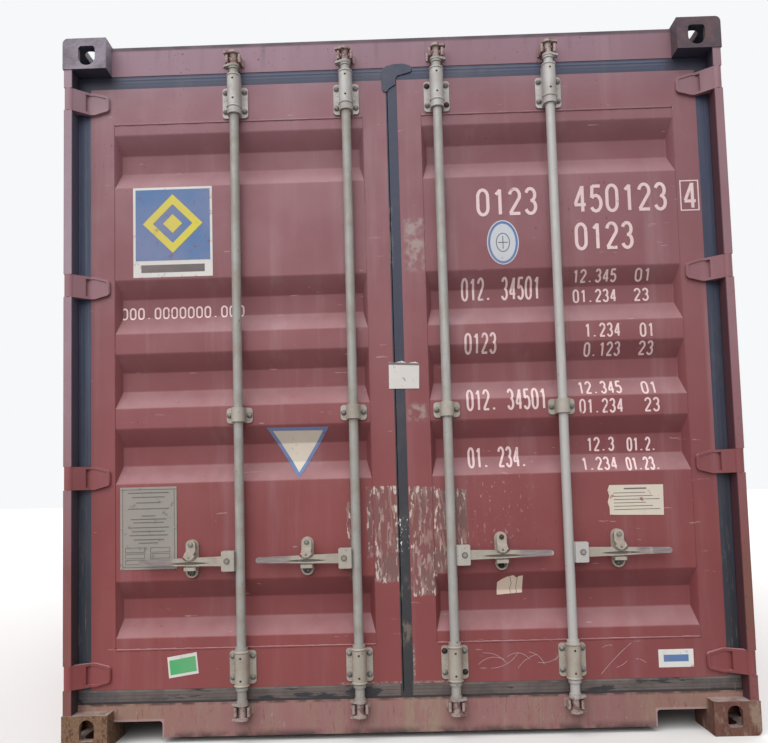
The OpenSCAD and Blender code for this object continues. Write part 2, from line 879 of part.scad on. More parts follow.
module fork_pocket() {
  side = pocket_w / 2;
  outer = side + pocket_t;
  difference() {
    union() {
      block([-rail_in, rail_in], [-outer, outer], [floor_low - pocket_t, floor_low]);
      block([-rail_in, rail_in], [-outer, -side], [base_gap, floor_low]);
      block([-rail_in, rail_in], [side, outer], [base_gap, floor_low]);
    }
    both_sides() for (y = [-outer, side])
      block([foot_in, rail_in + 1], [y - 1, y + pocket_t + 1],
        [base_gap - 1, side_rail_bottom + side_rail_t]);
  }
  both_sides() block([foot_in - strap_w, foot_in], [-outer, outer], [base_gap - strap_t, base_gap]);
}

module fork_pockets() {
  color(paint) for (end = [-1, 1]) translate([0, end * pocket_spacing / 2, 0]) fork_pocket();
}

// One small ventilator in a recess of each side wall, near the top
module ventilators() {
  places = centres(-rail_half_l, rail_half_l, side_pitch);
  x = -half_w + wall_inset + recess_depth;
  top = top_rail_low - vent_drop;
  color("#5c5c5e") for (side = [0, 1]) mirror([side, 0, 0]) {
    y = side == 0 ? places[1] : places[len(places) - 2];
    along_x(x - vent_t, x) translate([y, top - vent_h / 2])
      round_rect(recess_floor - 2 * vent_side, vent_h, vent_r);
  }
}

// Door leaves, drawn for the left door and mirrored for the right one

module leaf_frame() {
  t = leaf_wall;
  outer = [-leaf_outer, -leaf_outer + outer_stile];
  inner = [-leaf_inner - inner_stile, -leaf_inner];
  inside = [leaf_front + t, leaf_back - t];
  difference() {
    block([outer[0], inner[1]], [leaf_front, leaf_back], [leaf_low, leaf_high]);
    block([outer[1], inner[0]], [leaf_front - 1, leaf_back + 1], [panel_low, panel_high]);
    // The stiles are tubes and the rails are channels, open towards the inside
    for (stile = [outer, inner])
      block([stile[0] + t, stile[1] - t], inside, [leaf_low + t, leaf_high - t]);
    for (rail = [[leaf_low, panel_low], [panel_high, leaf_high]])
      block([outer[1], inner[0]], [leaf_front + t, leaf_back + 1], [rail[0] + t, rail[1] - t]);
  }
}

// Room of a recess behind a plane, with flanks over its height and steeper slopes at its ends
module recess_room(z, ends, plane) {
  start = plane - panel_t / 2;
  deep = plane + recess_depth;
  half = recess_floor / 2;
  intersection() {
    along_x(ends[0], ends[1]) polygon([
      [start, z - recess_half], [plane, z - recess_half], [deep, z - half],
      [deep, z + half], [plane, z + recess_half], [start, z + recess_half]
    ]);
    along_z(z - recess_half, z + recess_half) polygon([
      [ends[0], start], [ends[0], plane], [ends[0] + recess_end, deep],
      [ends[1] - recess_end, deep], [ends[1], plane], [ends[1], start]
    ]);
  }
}

// A sheet with recesses pressed into it that end short of its edges
module leaf_panel() {
  zs = [for (row = door_rows) panel_middle + row * door_pitch];
  ends = [-leaf_outer + outer_stile, -leaf_inner - inner_stile];
  back = [panel_t, -panel_t] / 2;
  difference() {
    union() {
      block(ends, [panel_front, panel_front + panel_t], [panel_low, panel_high]);
      for (z = zs) recess_room(z, ends + back, panel_front + panel_t);
    }
    for (z = zs) recess_room(z, ends + 3 * back, panel_front);
  }
}

// Gasket round a leaf: a thin lip at the front and a body behind it, inner is its edge at the middle
module gasket(inner_edge) {
  x0 = -strip_in + seal_gap;
  z0 = sill_h + seal_gap;
  z1 = header_bottom - seal_gap;
  lip_front = leaf_front + bead_set;
  lip_back = stop_front - seal_gap;
  body_x0 = -opening_half + body_gap;
  body_z0 = floor_h + body_gap;
  body_z1 = opening_top - body_gap;
  body_inner = min(-leaf_inner + body_lap, inner_edge - body_set);
  difference() {
    union() {
      block([x0, inner_edge], [lip_back - lip_t, lip_back], [z0, z1]);
      block([body_x0, body_inner], [lip_back - 1, lip_back + gasket_depth], [body_z0, body_z1]);
      // A raised bead runs along the lip
      block([x0 + bead_w, inner_edge], [lip_front, lip_back], [z0 + bead_w, z1 - bead_w]);
    }
    block([x0 + 2 * bead_w, -leaf_inner + 1], [lip_front - 1, lip_back - lip_t],
      [z0 + 2 * bead_w, z1 - 2 * bead_w]);
    block([-leaf_outer, -leaf_inner], [leaf_front - 1, leaf_back + 1], [leaf_low, leaf_high]);
  }
}

// Blade in plan, from its knuckle round the post strip to the face of the leaf
module blade_plan() {
  seat = leaf_front - pin_y;
  face = seat - blade_t;
  // The plate starts a little inside the knuckle's round
  r = knuckle_d / 2 - 1;
  circle(d = knuckle_d);
  polygon([
    [r / 5, r], [blade_seat, seat], [blade_l, seat], [blade_l, face + blade_bevel],
    [blade_l - blade_bevel, face], [blade_seat + blade_t / 2, face], [r / sqrt(2), -r / sqrt(2)]
  ]);
}

// Blade seen from the front, set in by a rim, with round corners at its tip
module blade_face(set) {
  half_h = blade_h / 2 - set;
  half_tip = blade_tip_h / 2 - set;
  r = blade_r - set;
  corner = blade_l - blade_r;
  polygon([
    [-knuckle_d / 2, -half_h], [blade_neck, -half_h], [corner, -half_tip],
    [corner, half_tip], [blade_neck, half_h], [-knuckle_d / 2, half_h]
  ]);
  rect([corner, blade_l - set], [-half_tip + r, half_tip - r]);
  for (side = [-1, 1]) translate([corner, side * (half_tip - r)]) circle(r);
}

module hinge_blade() {
  half_h = blade_h / 2;
  seat = leaf_front - pin_y;
  difference() {
    intersection() {
      along_z(-half_h, half_h) blade_plan();
      along_y(-knuckle_d, seat + 1) blade_face(0);
    }
    cylinder(d = pin_d + 2 * pin_gap, h = 2 * blade_h, center = true);
    // The face between the rims is sunk a little
    along_y(-knuckle_d, seat - blade_t + rim_t) intersection() {
      blade_face(rim_w);
      rect([blade_seat - rim_w, blade_l], [-half_h, half_h]);
    }
  }
}

module hinge_blades() {
  for (z = hinge_zs) translate([-pin_x, pin_y, z]) hinge_blade();
}

// Rod brackets: a plate whose back is on the leaf, with a half round barrel over the rod

module bracket(plate_h, barrel_z, back) {
  plate_front = back - bracket_t;
  difference() {
    union() {
      along_y(plate_front, back) round_rect(bracket_w, plate_h, bracket_r);
      along_z(barrel_z[0], barrel_z[1]) {
        circle(d = barrel_d);
        rect([-barrel_d / 2, barrel_d / 2], [0, plate_front]);
      }
    }
    along_z(barrel_z[0] - 1, barrel_z[1] + 1) circle(d = rod_d + 2 * rod_gap);
  }
}

module rod_brackets() {
  half = bracket_h / 2;
  clamp = clamp_h / 2 - barrel_set;
  for (x = [-outer_rod, -inner_rod]) translate([x, rod_y, 0]) {
    translate([0, 0, top_bracket_z + half])
      bracket(bracket_h, [barrel_set - half, half + barrel_over], rod_off);
    translate([0, 0, clamp_z]) bracket(clamp_h, [-clamp, clamp], rod_off + panel_set);
    translate([0, 0, bottom_bracket_z + half]) bracket(bracket_h, [-half, half], rod_off);
  }
}

// Handle retainers: a plate on the leaf with a boss for the catch, a shelf under the handle and a
// pocket with a rim under the shelf

module retainer_outline(set) {
  translate([0, handle_z + retainer_up]) rotate(90) stadium(retainer_h - 2 * set, retainer_w - 2 * set);
}

module handle_retainer() {
  plate_front = panel_front - retainer_t;
  rim_front = plate_front - (plate_front - boss_front) / 2;
  half = retainer_w / 2;
  shelf_top = handle_z - handle_height(catch_off - half) / 2 - catch_gap;
  shelf_low = shelf_top - shelf_t;
  shelf_y = handle_back - shelf_lap;
  difference() {
    union() {
      along_y(plate_front, panel_front) retainer_outline(0);
      along_y(boss_front, plate_front) translate([0, rivet_z]) circle(d = boss_d);
      along_z(shelf_low, shelf_top) {
        rect([-half, half], [shelf_y, plate_front]);
        translate([0, shelf_y]) stadium(retainer_w, 2 * shelf_r);
      }
      along_y(rim_front, plate_front) difference() {
        retainer_outline(0);
        retainer_outline(pocket_rim);
        rect([-half, half], [shelf_top, handle_z + retainer_h]);
      }
    }
    along_y(boss_front - 1, panel_front + 1) translate([0, rivet_z]) circle(d = rivet_d);
  }
}

module handle_retainers() {
  for (x = [-outer_rod, -inner_rod]) translate([x - catch_off, 0, 0]) handle_retainer();
}

// Lock rods with their cams and hub, drawn for a handle that points to -x

// A cam's plates get thinner outwards and leave room for the keeper's horns round the stem
module cam() {
  reach = cam_wing + 1;
  root = cam_stem + keeper_gap;
  intersection() {
    along_z(0, cam_h) {
      circle(cam_back);
      polygon([
        [0, -cam_back], [-cam_wing, -cam_end / 2], [-cam_wing, cam_end / 2], [0, cam_back]
      ]);
    }
    rotate_extrude() polygon([
      [0, 0], [reach, 0], [reach, cam_edge], [root, cam_plate], [cam_stem, cam_plate],
      [cam_stem, cam_h - cam_plate], [root, cam_h - cam_plate], [reach, cam_h - cam_edge],
      [reach, cam_h], [0, cam_h]
    ]);
  }
}

// A hub is a fork: a plate in front of the handle's root, a web beside the rod and a back
module hub() {
  front = handle_front - hub_plate - rod_y;
  back = handle_back + hub_back - rod_y;
  slot = [handle_front - rod_y, handle_back - rod_y];
  all_z = [-hub_h, hub_h];
  translate([0, 0, handle_z]) {
    difference() {
      along_y(front, back) translate([-hub_l / 2, 0]) round_rect(hub_l, hub_h, hub_r);
      block([-hub_l - 1, -hub_slot], slot, all_z);
      block([-rod_d / 2 - 1, 1], [front - 1, slot[1]], all_z);
    }
    along_y(front, back) translate([-bolt_x, 0]) circle(d = bolt_d);
    along_y(front - bolt_head, front) translate([-bolt_x, 0]) circle(d = 1.5 * bolt_d, $fn = 6);
  }
}

module lock_rod() {
  collar_low = bottom_bracket_z - collar_gap - collar_h;
  collar_high = bottom_bracket_z + bracket_h + collar_gap;
  along_z(rod_low, rod_high) circle(d = rod_d);
  translate([0, 0, rod_low - cam_h]) cam();
  translate([0, 0, rod_high]) cam();
  for (z = [rod_low, rod_high - ring_h]) along_z(z, z + ring_h) circle(d = rod_d + 2 * ring_proud);
  for (z = [collar_low, collar_high])
    along_z(z, z + collar_h) circle(d = rod_d + 2 * collar_proud);
  hub();
}

// A long shape with pointed ends, as between two equal arcs
module lens(l, h) {
  r = (l * l / 4 + h * h / 4) / h;
  intersection_for(side = [-1, 1]) translate([0, side * (r - h / 2)]) circle(r, $fn = 180);
}

module handle() {
  half = handle_h / 2;
  tip = handle_tip / 2;
  notch_r = (notch_half * notch_half + notch_depth * notch_depth) / (2 * notch_depth);
  notch_z = handle_height(catch_off) / 2 - notch_depth + notch_r;
  front = handle_front - rod_y;
  back = front + handle_t;
  translate([0, 0, handle_z]) difference() {
    along_y(front, back) {
      polygon([
        [-handle_root, -half], [-handle_root, half], [-handle_l + tip, tip], [-handle_l + tip, -tip]
      ]);
      translate([-handle_l + tip, 0]) circle(tip);
    }
    along_y(front - 1, back + 1) {
      translate([-bolt_x, 0]) circle(d = bolt_d + 2 * pin_gap);
      translate([-catch_off, notch_z]) circle(notch_r);
    }
    along_y(front - 1, front + groove_depth)
      translate([-catch_off, -groove_down]) lens(groove_l, groove_h);
  }
}

// Catch that hangs on its rivet in front of the handle's notch, with the rivet at x = 0. From its
// plate on the boss it runs forward over the handle and ends in a tab.
module handle_catch() {
  handle_top = handle_z + handle_height(catch_off) / 2;
  tab_low = handle_top - notch_depth + catch_gap + notch_play;
  front = handle_front - catch_gap - catch_t;
  tab_back = front + catch_t;
  plate_back = boss_front - pin_gap;
  plate_front = plate_back - catch_t;
  toe = handle_top + 2 * catch_gap;
  knee = toe + (plate_back - tab_back) * tan(bend_angle);
  top = rivet_z + catch_neck / 2;
  neck = catch_neck / 2;
  half = catch_w / 2;
  tip = catch_end / 2;
  difference() {
    union() {
      intersection() {
        along_x(-half, half) polygon([
          [plate_back, top], [plate_front, top], [plate_front, knee + catch_t],
          [front, toe + catch_t], [front, tab_low], [tab_back, tab_low], [tab_back, toe],
          [plate_back, knee]
        ]);
        along_y(front - 1, plate_back + 1) {
          translate([0, rivet_z]) circle(neck);
          polygon([
            [-neck, rivet_z], [-neck, toe], [-half, toe - (half - neck)], [-tip, tab_low],
            [tip, tab_low], [half, toe - (half - neck)], [neck, toe], [neck, rivet_z]
          ]);
        }
      }
      along_y(plate_front - rivet_head, plate_front)
        translate([0, rivet_z]) circle(d = rivet_d + 2 * rivet_head);
    }
    along_y(front - 1, tab_back + 1) translate([0, tab_low + seal_hole]) circle(d = seal_hole);
  }
  along_y(plate_front, panel_front) translate([0, rivet_z]) circle(d = rivet_d - 2 * pin_gap);
}

// Left leaf

module left_leaf_frame() {
  color(paint) leaf_frame();
}

module left_leaf_panel() {
  color(paint) leaf_panel();
}

module left_gasket() {
  color(rubber) gasket(centre_half - centre_lip - centre_gap);
}

module left_hinge_blades() {
  color(paint) hinge_blades();
}

module left_rod_brackets() {
  color(steel) rod_brackets();
}

module left_handle_retainers() {
  color(steel) handle_retainers();
}

// Right leaf

module right_leaf_frame() {
  color(paint) mirror([1, 0, 0]) leaf_frame();
}

module right_leaf_panel() {
  color(paint) mirror([1, 0, 0]) leaf_panel();
}

module right_gasket() {
  color(rubber) mirror([1, 0, 0]) gasket(centre_lip - centre_half);
}

module right_hinge_blades() {
  color(paint) mirror([1, 0, 0]) hinge_blades();
}

module right_rod_brackets() {
  color(steel) mirror([1, 0, 0]) rod_brackets();
}

module right_handle_retainers() {
  color(steel) mirror([1, 0, 0]) handle_retainers();
}

// Moves a left hand piece of the gear to rod i, mirrored on the right door
module at_rod(i) {
  translate([rod_xs[i], 0, 0]) mirror([i > 1 ? 1 : 0, 0, 0]) children();
}

module lock_rod_at(i) {
  color(steel) at_rod(i) translate([0, rod_y, 0]) lock_rod();
}

module handle_at(i) {
  color(steel) at_rod(i) translate([0, rod_y, 0]) handle();
}

module handle_catch_at(i) {
  color(steel) at_rod(i) translate([-catch_off, 0, 0]) handle_catch();
}

top_castings();
bottom_castings();
rear_post_left();
rear_post_right();
front_posts();
door_header();
door_sill();
cam_keepers();
hinge_pins();
top_side_rails();
bottom_side_rails();
front_top_rail();
front_bottom_rail();
side_wall_left();
side_wall_right();
front_wall();
roof();
floor();
cross_members();
fork_pockets();
ventilators();
left_leaf_frame();
left_leaf_panel();
left_gasket();
left_hinge_blades();
left_rod_brackets();
left_handle_retainers();
right_leaf_frame();
right_leaf_panel();
right_gasket();
right_hinge_blades();
right_rod_brackets();
right_handle_retainers();
lock_rod_at(0);  // lock_rod_1
lock_rod_at(1);  // lock_rod_2
lock_rod_at(2);  // lock_rod_3
lock_rod_at(3);  // lock_rod_4
handle_at(0);  // handle_1
handle_at(1);  // handle_2
handle_at(2);  // handle_3
handle_at(3);  // handle_4
handle_catch_at(0);  // handle_catch_1
handle_catch_at(1);  // handle_catch_2
handle_catch_at(2);  // handle_catch_3
handle_catch_at(3);  // handle_catch_4
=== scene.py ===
import json
import math
import random

import bmesh
import bpy
from mathutils import Matrix, Vector

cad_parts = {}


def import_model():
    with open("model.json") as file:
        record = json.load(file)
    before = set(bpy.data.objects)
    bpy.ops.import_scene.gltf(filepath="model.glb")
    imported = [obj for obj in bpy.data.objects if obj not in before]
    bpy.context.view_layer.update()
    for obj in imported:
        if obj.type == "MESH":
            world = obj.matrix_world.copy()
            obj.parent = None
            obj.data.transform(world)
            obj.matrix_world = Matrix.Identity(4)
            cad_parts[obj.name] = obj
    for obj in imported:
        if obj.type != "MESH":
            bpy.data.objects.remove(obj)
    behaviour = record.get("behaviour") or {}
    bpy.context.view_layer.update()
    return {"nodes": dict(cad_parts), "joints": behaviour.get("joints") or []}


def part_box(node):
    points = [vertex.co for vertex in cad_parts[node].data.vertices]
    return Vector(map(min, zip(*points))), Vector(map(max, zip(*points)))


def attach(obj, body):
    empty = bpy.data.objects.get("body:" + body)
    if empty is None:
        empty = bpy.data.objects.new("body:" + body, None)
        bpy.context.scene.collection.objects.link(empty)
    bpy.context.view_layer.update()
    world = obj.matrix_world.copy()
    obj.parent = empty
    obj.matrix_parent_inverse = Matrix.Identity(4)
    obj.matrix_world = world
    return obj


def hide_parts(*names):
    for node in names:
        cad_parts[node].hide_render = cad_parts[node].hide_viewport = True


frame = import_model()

MM = 0.001
NODES = frame["nodes"]
DOORS = {"left": -1, "right": 1}


# Colours, written as they look on a screen

def srgb(r, g, b):
    def linear(v):
        v /= 255
        return v / 12.92 if v <= 0.04045 else ((v + 0.055) / 1.055) ** 2.4
    return (linear(r), linear(g), linear(b), 1.0)


PAINT_LOW = srgb(139, 70, 70)
PAINT_HIGH = srgb(149, 105, 112)
PAINT_SKY_SHEEN = srgb(158, 130, 144)
PAINT_DUST_AND_SHEEN = srgb(186, 154, 158)
PAINT_DARK = srgb(104, 52, 56)
PAINT_SHADE = srgb(72, 42, 50)
SCRAPED = srgb(118, 88, 84)
STREAK = srgb(160, 126, 119)
FLAKE = srgb(206, 186, 178)
PRIMER = srgb(168, 150, 144)
RUST = srgb(84, 54, 42)
RUST_LIGHT = srgb(112, 78, 66)
RUST_GREY = srgb(122, 96, 90)
RUST_RED = srgb(106, 66, 58)
SAND = srgb(156, 134, 116)
TAN = srgb(130, 100, 77)
SILL_DUST = srgb(150, 121, 101)
POST_GREY = srgb(172, 154, 166)
WEB_SHADE_LOW = srgb(50, 45, 48)
WEB_SHADE_HIGH = srgb(72, 74, 94)
UNDERSIDE_SHADE = srgb(38, 36, 54)
GRIME = srgb(66, 52, 50)
GEAR = srgb(162, 160, 155)
GEAR_WARM = srgb(173, 164, 152)
GEAR_PALE = srgb(184, 181, 178)
GEAR_PINK = srgb(164, 143, 138)
GEAR_TIP = srgb(122, 110, 114)
GEAR_SHADOW = srgb(74, 66, 60)
BOLT_GREY = srgb(144, 140, 136)
BOLT_SHADE = srgb(114, 107, 102)
GEAR_DIRT = srgb(140, 126, 112)
RUBBER_LOW = srgb(30, 30, 35)
RUBBER_HIGH = srgb(45, 49, 72)
RUBBER_SHINE = srgb(92, 102, 128)
RUBBER_DUST = srgb(118, 112, 106)
RUBBER_MUD = srgb(108, 95, 90)
CASTING = srgb(156, 146, 158)
CASTING_DARK = srgb(82, 68, 76)
WHITE = srgb(226, 224, 218)
STENCIL = srgb(235, 207, 206)
BLUE = srgb(86, 120, 166)
YELLOW = srgb(222, 206, 70)
GREEN = srgb(40, 176, 100)
BADGE = srgb(202, 208, 214)
CREAM = srgb(216, 206, 188)
TORN = srgb(230, 209, 190)
PLATE = srgb(150, 146, 136)
INK = srgb(96, 92, 90)
BLACK = srgb(38, 36, 38)
WOOD = srgb(138, 108, 76)
WOOD_DARK = srgb(98, 72, 48)
PLASTIC = srgb(84, 84, 86)


# Material building

class Material:
    """A node material in object coordinates, which stay with a piece when its body moves."""

    def __init__(self, name):
        self.material = bpy.data.materials.new(name)
        self.material.use_nodes = True
        self.tree = self.material.node_tree
        self.shader = self.tree.nodes["Principled BSDF"]
        places = self.node("ShaderNodeTexCoord")
        self.coords = places.outputs["Object"]
        split = self.node("ShaderNodeSeparateXYZ", self.coords)
        self.x, self.y, self.z = split.outputs
        depth = self.node("ShaderNodeSeparateXYZ", places.outputs["Normal"]).outputs[1]
        self.outside = self.ramp(depth, -0.1, -0.3)

    def node(self, kind, *inputs, **settings):
        made = self.tree.nodes.new(kind)
        for key, value in settings.items():
            setattr(made, key, value)
        for socket, value in zip(made.inputs, inputs):
            self.put(socket, value)
        return made

    def put(self, socket, value):
        if isinstance(value, bpy.types.NodeSocket):
            self.tree.links.new(value, socket)
        elif value is not None:
            socket.default_value = value

    def math(self, operation, a, b=0.0, c=0.0, clamp=False):
        made = self.node("ShaderNodeMath", a, b, c, operation=operation, use_clamp=clamp)
        return made.outputs[0]

    def ramp(self, value, low, high, to_low=0.0, to_high=1.0):
        """Smooth step of a value from low to high."""
        made = self.node("ShaderNodeMapRange", value, low, high, to_low, to_high,
                         interpolation_type="SMOOTHSTEP")
        return made.outputs[0]

    def mix(self, factor, a, b, blend="MIX"):
        made = self.node("ShaderNodeMix", data_type="RGBA", blend_type=blend)
        self.put(made.inputs[0], factor)
        self.put(made.inputs[6], a)
        self.put(made.inputs[7], b)
        return made.outputs[2]

    def noise(self, scale, detail=4.0, roughness=0.55, stretch=(1, 1, 1), shift=(0, 0, 0)):
        place = self.node("ShaderNodeMapping", self.coords, shift, (0, 0, 0), stretch)
        made = self.node("ShaderNodeTexNoise")
        self.put(made.inputs["Vector"], place.outputs[0])
        self.put(made.inputs["Scale"], scale)
        self.put(made.inputs["Detail"], detail)
        self.put(made.inputs["Roughness"], roughness)
        return made.outputs["Fac"]

    def cells(self, scale, stretch=(1, 1, 1)):
        place = self.node("ShaderNodeMapping", self.coords, (0, 0, 0), (0, 0, 0), stretch)
        made = self.node("ShaderNodeTexVoronoi")
        self.put(made.inputs["Vector"], place.outputs[0])
        self.put(made.inputs["Scale"], scale)
        return made.outputs["Distance"]

    def upward(self):
        """1 on faces that look up, 0 on upright faces and those that look down."""
        normal = self.node("ShaderNodeNewGeometry").outputs["Normal"]
        return self.ramp(self.node("ShaderNodeSeparateXYZ", normal).outputs[2], 0.1, 0.9)

    def downward(self):
        normal = self.node("ShaderNodeNewGeometry").outputs["Normal"]
        return self.ramp(self.node("ShaderNodeSeparateXYZ", normal).outputs[2], -0.1, -0.45)

    def zone(self, x, z, soft=0.02):
        """1 inside a box seen from the front, with soft edges."""
        sides = [self.ramp(self.x, x[0] - soft, x[0] + soft), self.ramp(self.x, x[1] + soft, x[1] - soft),
                 self.ramp(self.z, z[0] - soft, z[0] + soft), self.ramp(self.z, z[1] + soft, z[1] - soft)]
        inside = sides[0]
        for side in sides[1:]:
            inside = self.math("MULTIPLY", inside, side)
        return inside

    def both(self, a, b):
        return self.math("MULTIPLY", a, b)

    def from_places(self, places):
        """Distance in x from the nearest of four places, +-places[0] and +-places[1]."""
        middle, half = (places[0] + places[1]) / 2, abs(places[1] - places[0]) / 2
        across = self.math("ABSOLUTE", self.math("SUBTRACT", self.math("ABSOLUTE", self.x), middle))
        return self.math("ABSOLUTE", self.math("SUBTRACT", across, half))

    def finish(self, colour, roughness=0.6, metallic=0.0, specular=0.4, bumps=()):
        """bumps is a list of (height, distance in metres)."""
        self.put(self.shader.inputs["Base Color"], colour)
        self.put(self.shader.inputs["Roughness"], roughness)
        self.put(self.shader.inputs["Metallic"], metallic)
        self.put(self.shader.inputs["Specular IOR Level"], specular)
        normal = None
        for height, distance in bumps:
            bump = self.node("ShaderNodeBump")
            self.put(bump.inputs["Distance"], distance)
            self.put(bump.inputs["Strength"], 1.0)
            self.put(bump.inputs["Height"], height)
            self.put(bump.inputs["Normal"], normal)
            normal = bump.outputs[0]
        self.put(self.shader.inputs["Normal"], normal)
        return self.material


def faded_paint_and_sheen(m):
    """Maroon paint, lighter towards the top, where the sun has faded it and a painted sheen of the sky lies on it, and
    lighter towards the left, with dusty streaks.
    """
    # Lighter and at the very top bluer: partly faded paint, partly a painted sheen of the sky
    colour = m.mix(m.ramp(m.z, 0.6, 2.4), PAINT_LOW, PAINT_HIGH)
    colour = m.mix(m.ramp(m.z, 2.3, 2.55, 0.0, 0.8), colour, PAINT_SKY_SHEEN)
    colour = m.mix(m.ramp(m.x, -0.9, 1.3, 0.0, 0.28), colour, PAINT_DARK)
    colour = m.mix(m.ramp(m.noise(1.7, 5), 0.35, 0.7, 0.0, 0.22), colour, PAINT_DARK)
    streaks = m.ramp(m.noise(1.0, 6, 0.6, (11, 11, 0.7)), 0.5, 0.8, 0.0, 0.3)
    colour = m.mix(m.both(streaks, m.ramp(m.z, 0.3, 1.4, 0.5, 1.0)), colour, PAINT_DUST_AND_SHEEN)
    # Dust, and a painted sheen of the sky, on faces that look up
    dust = m.both(m.upward(), m.ramp(m.z, 1.3, 2.4, 1.0, 0.7))
    return m.mix(m.both(dust, m.ramp(m.noise(9, 4), 0.2, 0.7, 0.45, 0.85)), colour, PAINT_DUST_AND_SHEEN)


def chips(m, colour, amount=0.66):
    """Small chips with rust in them, in loose groups."""
    groups = m.ramp(m.noise(2.2, 3, shift=(3, 1, 7)), 0.45, 0.7)
    spots = m.ramp(m.noise(95, 3, shift=(5, 2, 1)), amount, amount + 0.03)
    return m.mix(m.both(groups, spots), colour, RUST)


def paint_bumps(m):
    return [(m.noise(2.4, 2, shift=(2, 8, 4)), 0.006), (m.noise(420, 2), 0.00025)]


def container_paint():
    m = Material("container_paint")
    colour = chips(m, faded_paint_and_sheen(m))
    low = m.ramp(m.z, 0.5, 0.0, 0.0, 0.8)
    dirt = m.both(low, m.ramp(m.noise(5, 6, 0.65), 0.4, 0.75))
    colour = m.mix(dirt, colour, SAND)
    return m.finish(colour, m.ramp(m.noise(6, 4), 0.3, 0.7, 0.5, 0.72), bumps=paint_bumps(m))


SCRAPES = [((-0.104, -0.022), (0.551, 0.891)), ((-0.130, -0.108), (0.640, 0.890)), ((-0.203, -0.184), (0.560, 0.842)),
           ((0.026, 0.116), (0.500, 0.888)), ((0.116, 0.180), (0.578, 0.877)), ((0.184, 0.233), (0.680, 0.875))]
SCUFFS = [((0.036, 0.106), (1.690, 1.888)), ((0.030, 0.096), (1.132, 1.190))]


def scraped(m, colour):
    """Where the doors were dragged along something: a bare brown ground, fine upright streaks and pale flakes."""
    streaks = m.ramp(m.noise(1.0, 4, 0.6, (78, 30, 12), (3, 7, 1)), 0.51, 0.60)
    flakes = m.ramp(m.noise(1.0, 3, 0.6, (80, 50, 24), (8, 2, 6)), 0.57, 0.62)
    ground = m.ramp(m.noise(6, 4, 0.6, (1.5, 1, 0.7), (1, 4, 2)), 0.42, 0.52, 0.5, 0.9)
    for x, z in SCRAPES:
        place = m.both(m.zone(x, z, 0.003), m.outside)
        edge = m.math("SUBTRACT", m.zone((x[0] - 0.002, x[1] + 0.002), (z[0] - 0.004, z[1] + 0.004), 0.003),
                      m.math("MULTIPLY", m.zone((x[0] + 0.014, x[1] - 0.012), (z[0] + 0.03, z[1] - 0.02), 0.006), 0.6))
        edge = m.both(edge, m.outside)
        colour = m.mix(m.both(place, ground), colour, SCRAPED)
        colour = m.mix(m.both(place, m.math("MULTIPLY", streaks, 0.75)), colour, STREAK)
        colour = m.mix(m.both(edge, flakes), colour, FLAKE)
    return colour


def door_paint():
    m = Material("door_paint")
    colour = chips(m, faded_paint_and_sheen(m), 0.68)
    # Painted shade: recesses lie darker than the flats, most of all their upper flanks, which look down
    colour = m.mix(m.ramp(m.y, -2.962, -2.934, 0.0, 0.30), colour, PAINT_DARK)
    shade = m.both(m.downward(), m.ramp(m.y, -2.9655, -2.960))
    colour = m.mix(m.both(shade, m.ramp(m.z, 0.6, 2.3, 0.42, 0.24)), colour, PAINT_DARK)
    colour = scraped(m, colour)
    rub = m.ramp(m.noise(26, 5, 0.65), 0.42, 0.62)
    for x, z in SCUFFS:
        place = m.both(m.zone(x, z, 0.012), m.outside)
        colour = m.mix(m.both(place, m.math("MULTIPLY", rub, 0.8)), colour, PRIMER)
    # A narrow peeling line over the lower gasket and up the right leaf's inner edge
    line = m.math("MAXIMUM", m.zone((-0.25, 0.15), (0.186, 0.197), 0.003), m.zone((0.018, 0.028), (0.19, 0.33), 0.003))
    for shift, peeled in (((0, 0, 0), PRIMER), ((4, 4, 4), RUST_GREY)):
        peel = m.both(m.both(line, m.ramp(m.noise(90, 4, shift=shift), 0.46, 0.54)), m.outside)
        colour = m.mix(m.math("MULTIPLY", peel, 0.85), colour, peeled)
    fine = m.both(m.zone((0.25, 0.46), (0.67, 0.92), 0.05), m.ramp(m.noise(1.0, 3, 0.6, (90, 30, 45)), 0.62, 0.66))
    colour = m.mix(m.both(m.math("MULTIPLY", fine, 0.5), m.outside), colour, PAINT_DUST_AND_SHEEN)
    nicks = m.both(m.zone((-1.2, 1.2), (0.19, 2.43), 0.01), m.ramp(m.noise(1.0, 3, 0.6, (9, 9, 60)), 0.70, 0.73))
    # The hinge blades, in front of the frame, are greyer in the upper half, most of all the left ones
    blades = m.both(m.ramp(m.y, -2.9675, -2.969), m.ramp(m.z, 0.6, 2.2, 0.0, 0.28))
    blades = m.both(blades, m.ramp(m.x, -0.5, 0.5, 1.0, 0.5))
    colour = m.mix(blades, colour, POST_GREY)
    colour = m.mix(m.math("MULTIPLY", nicks, 0.5), colour, PAINT_DUST_AND_SHEEN)
    return m.finish(colour, m.ramp(m.noise(6, 4), 0.3, 0.7, 0.48, 0.7), bumps=paint_bumps(m))


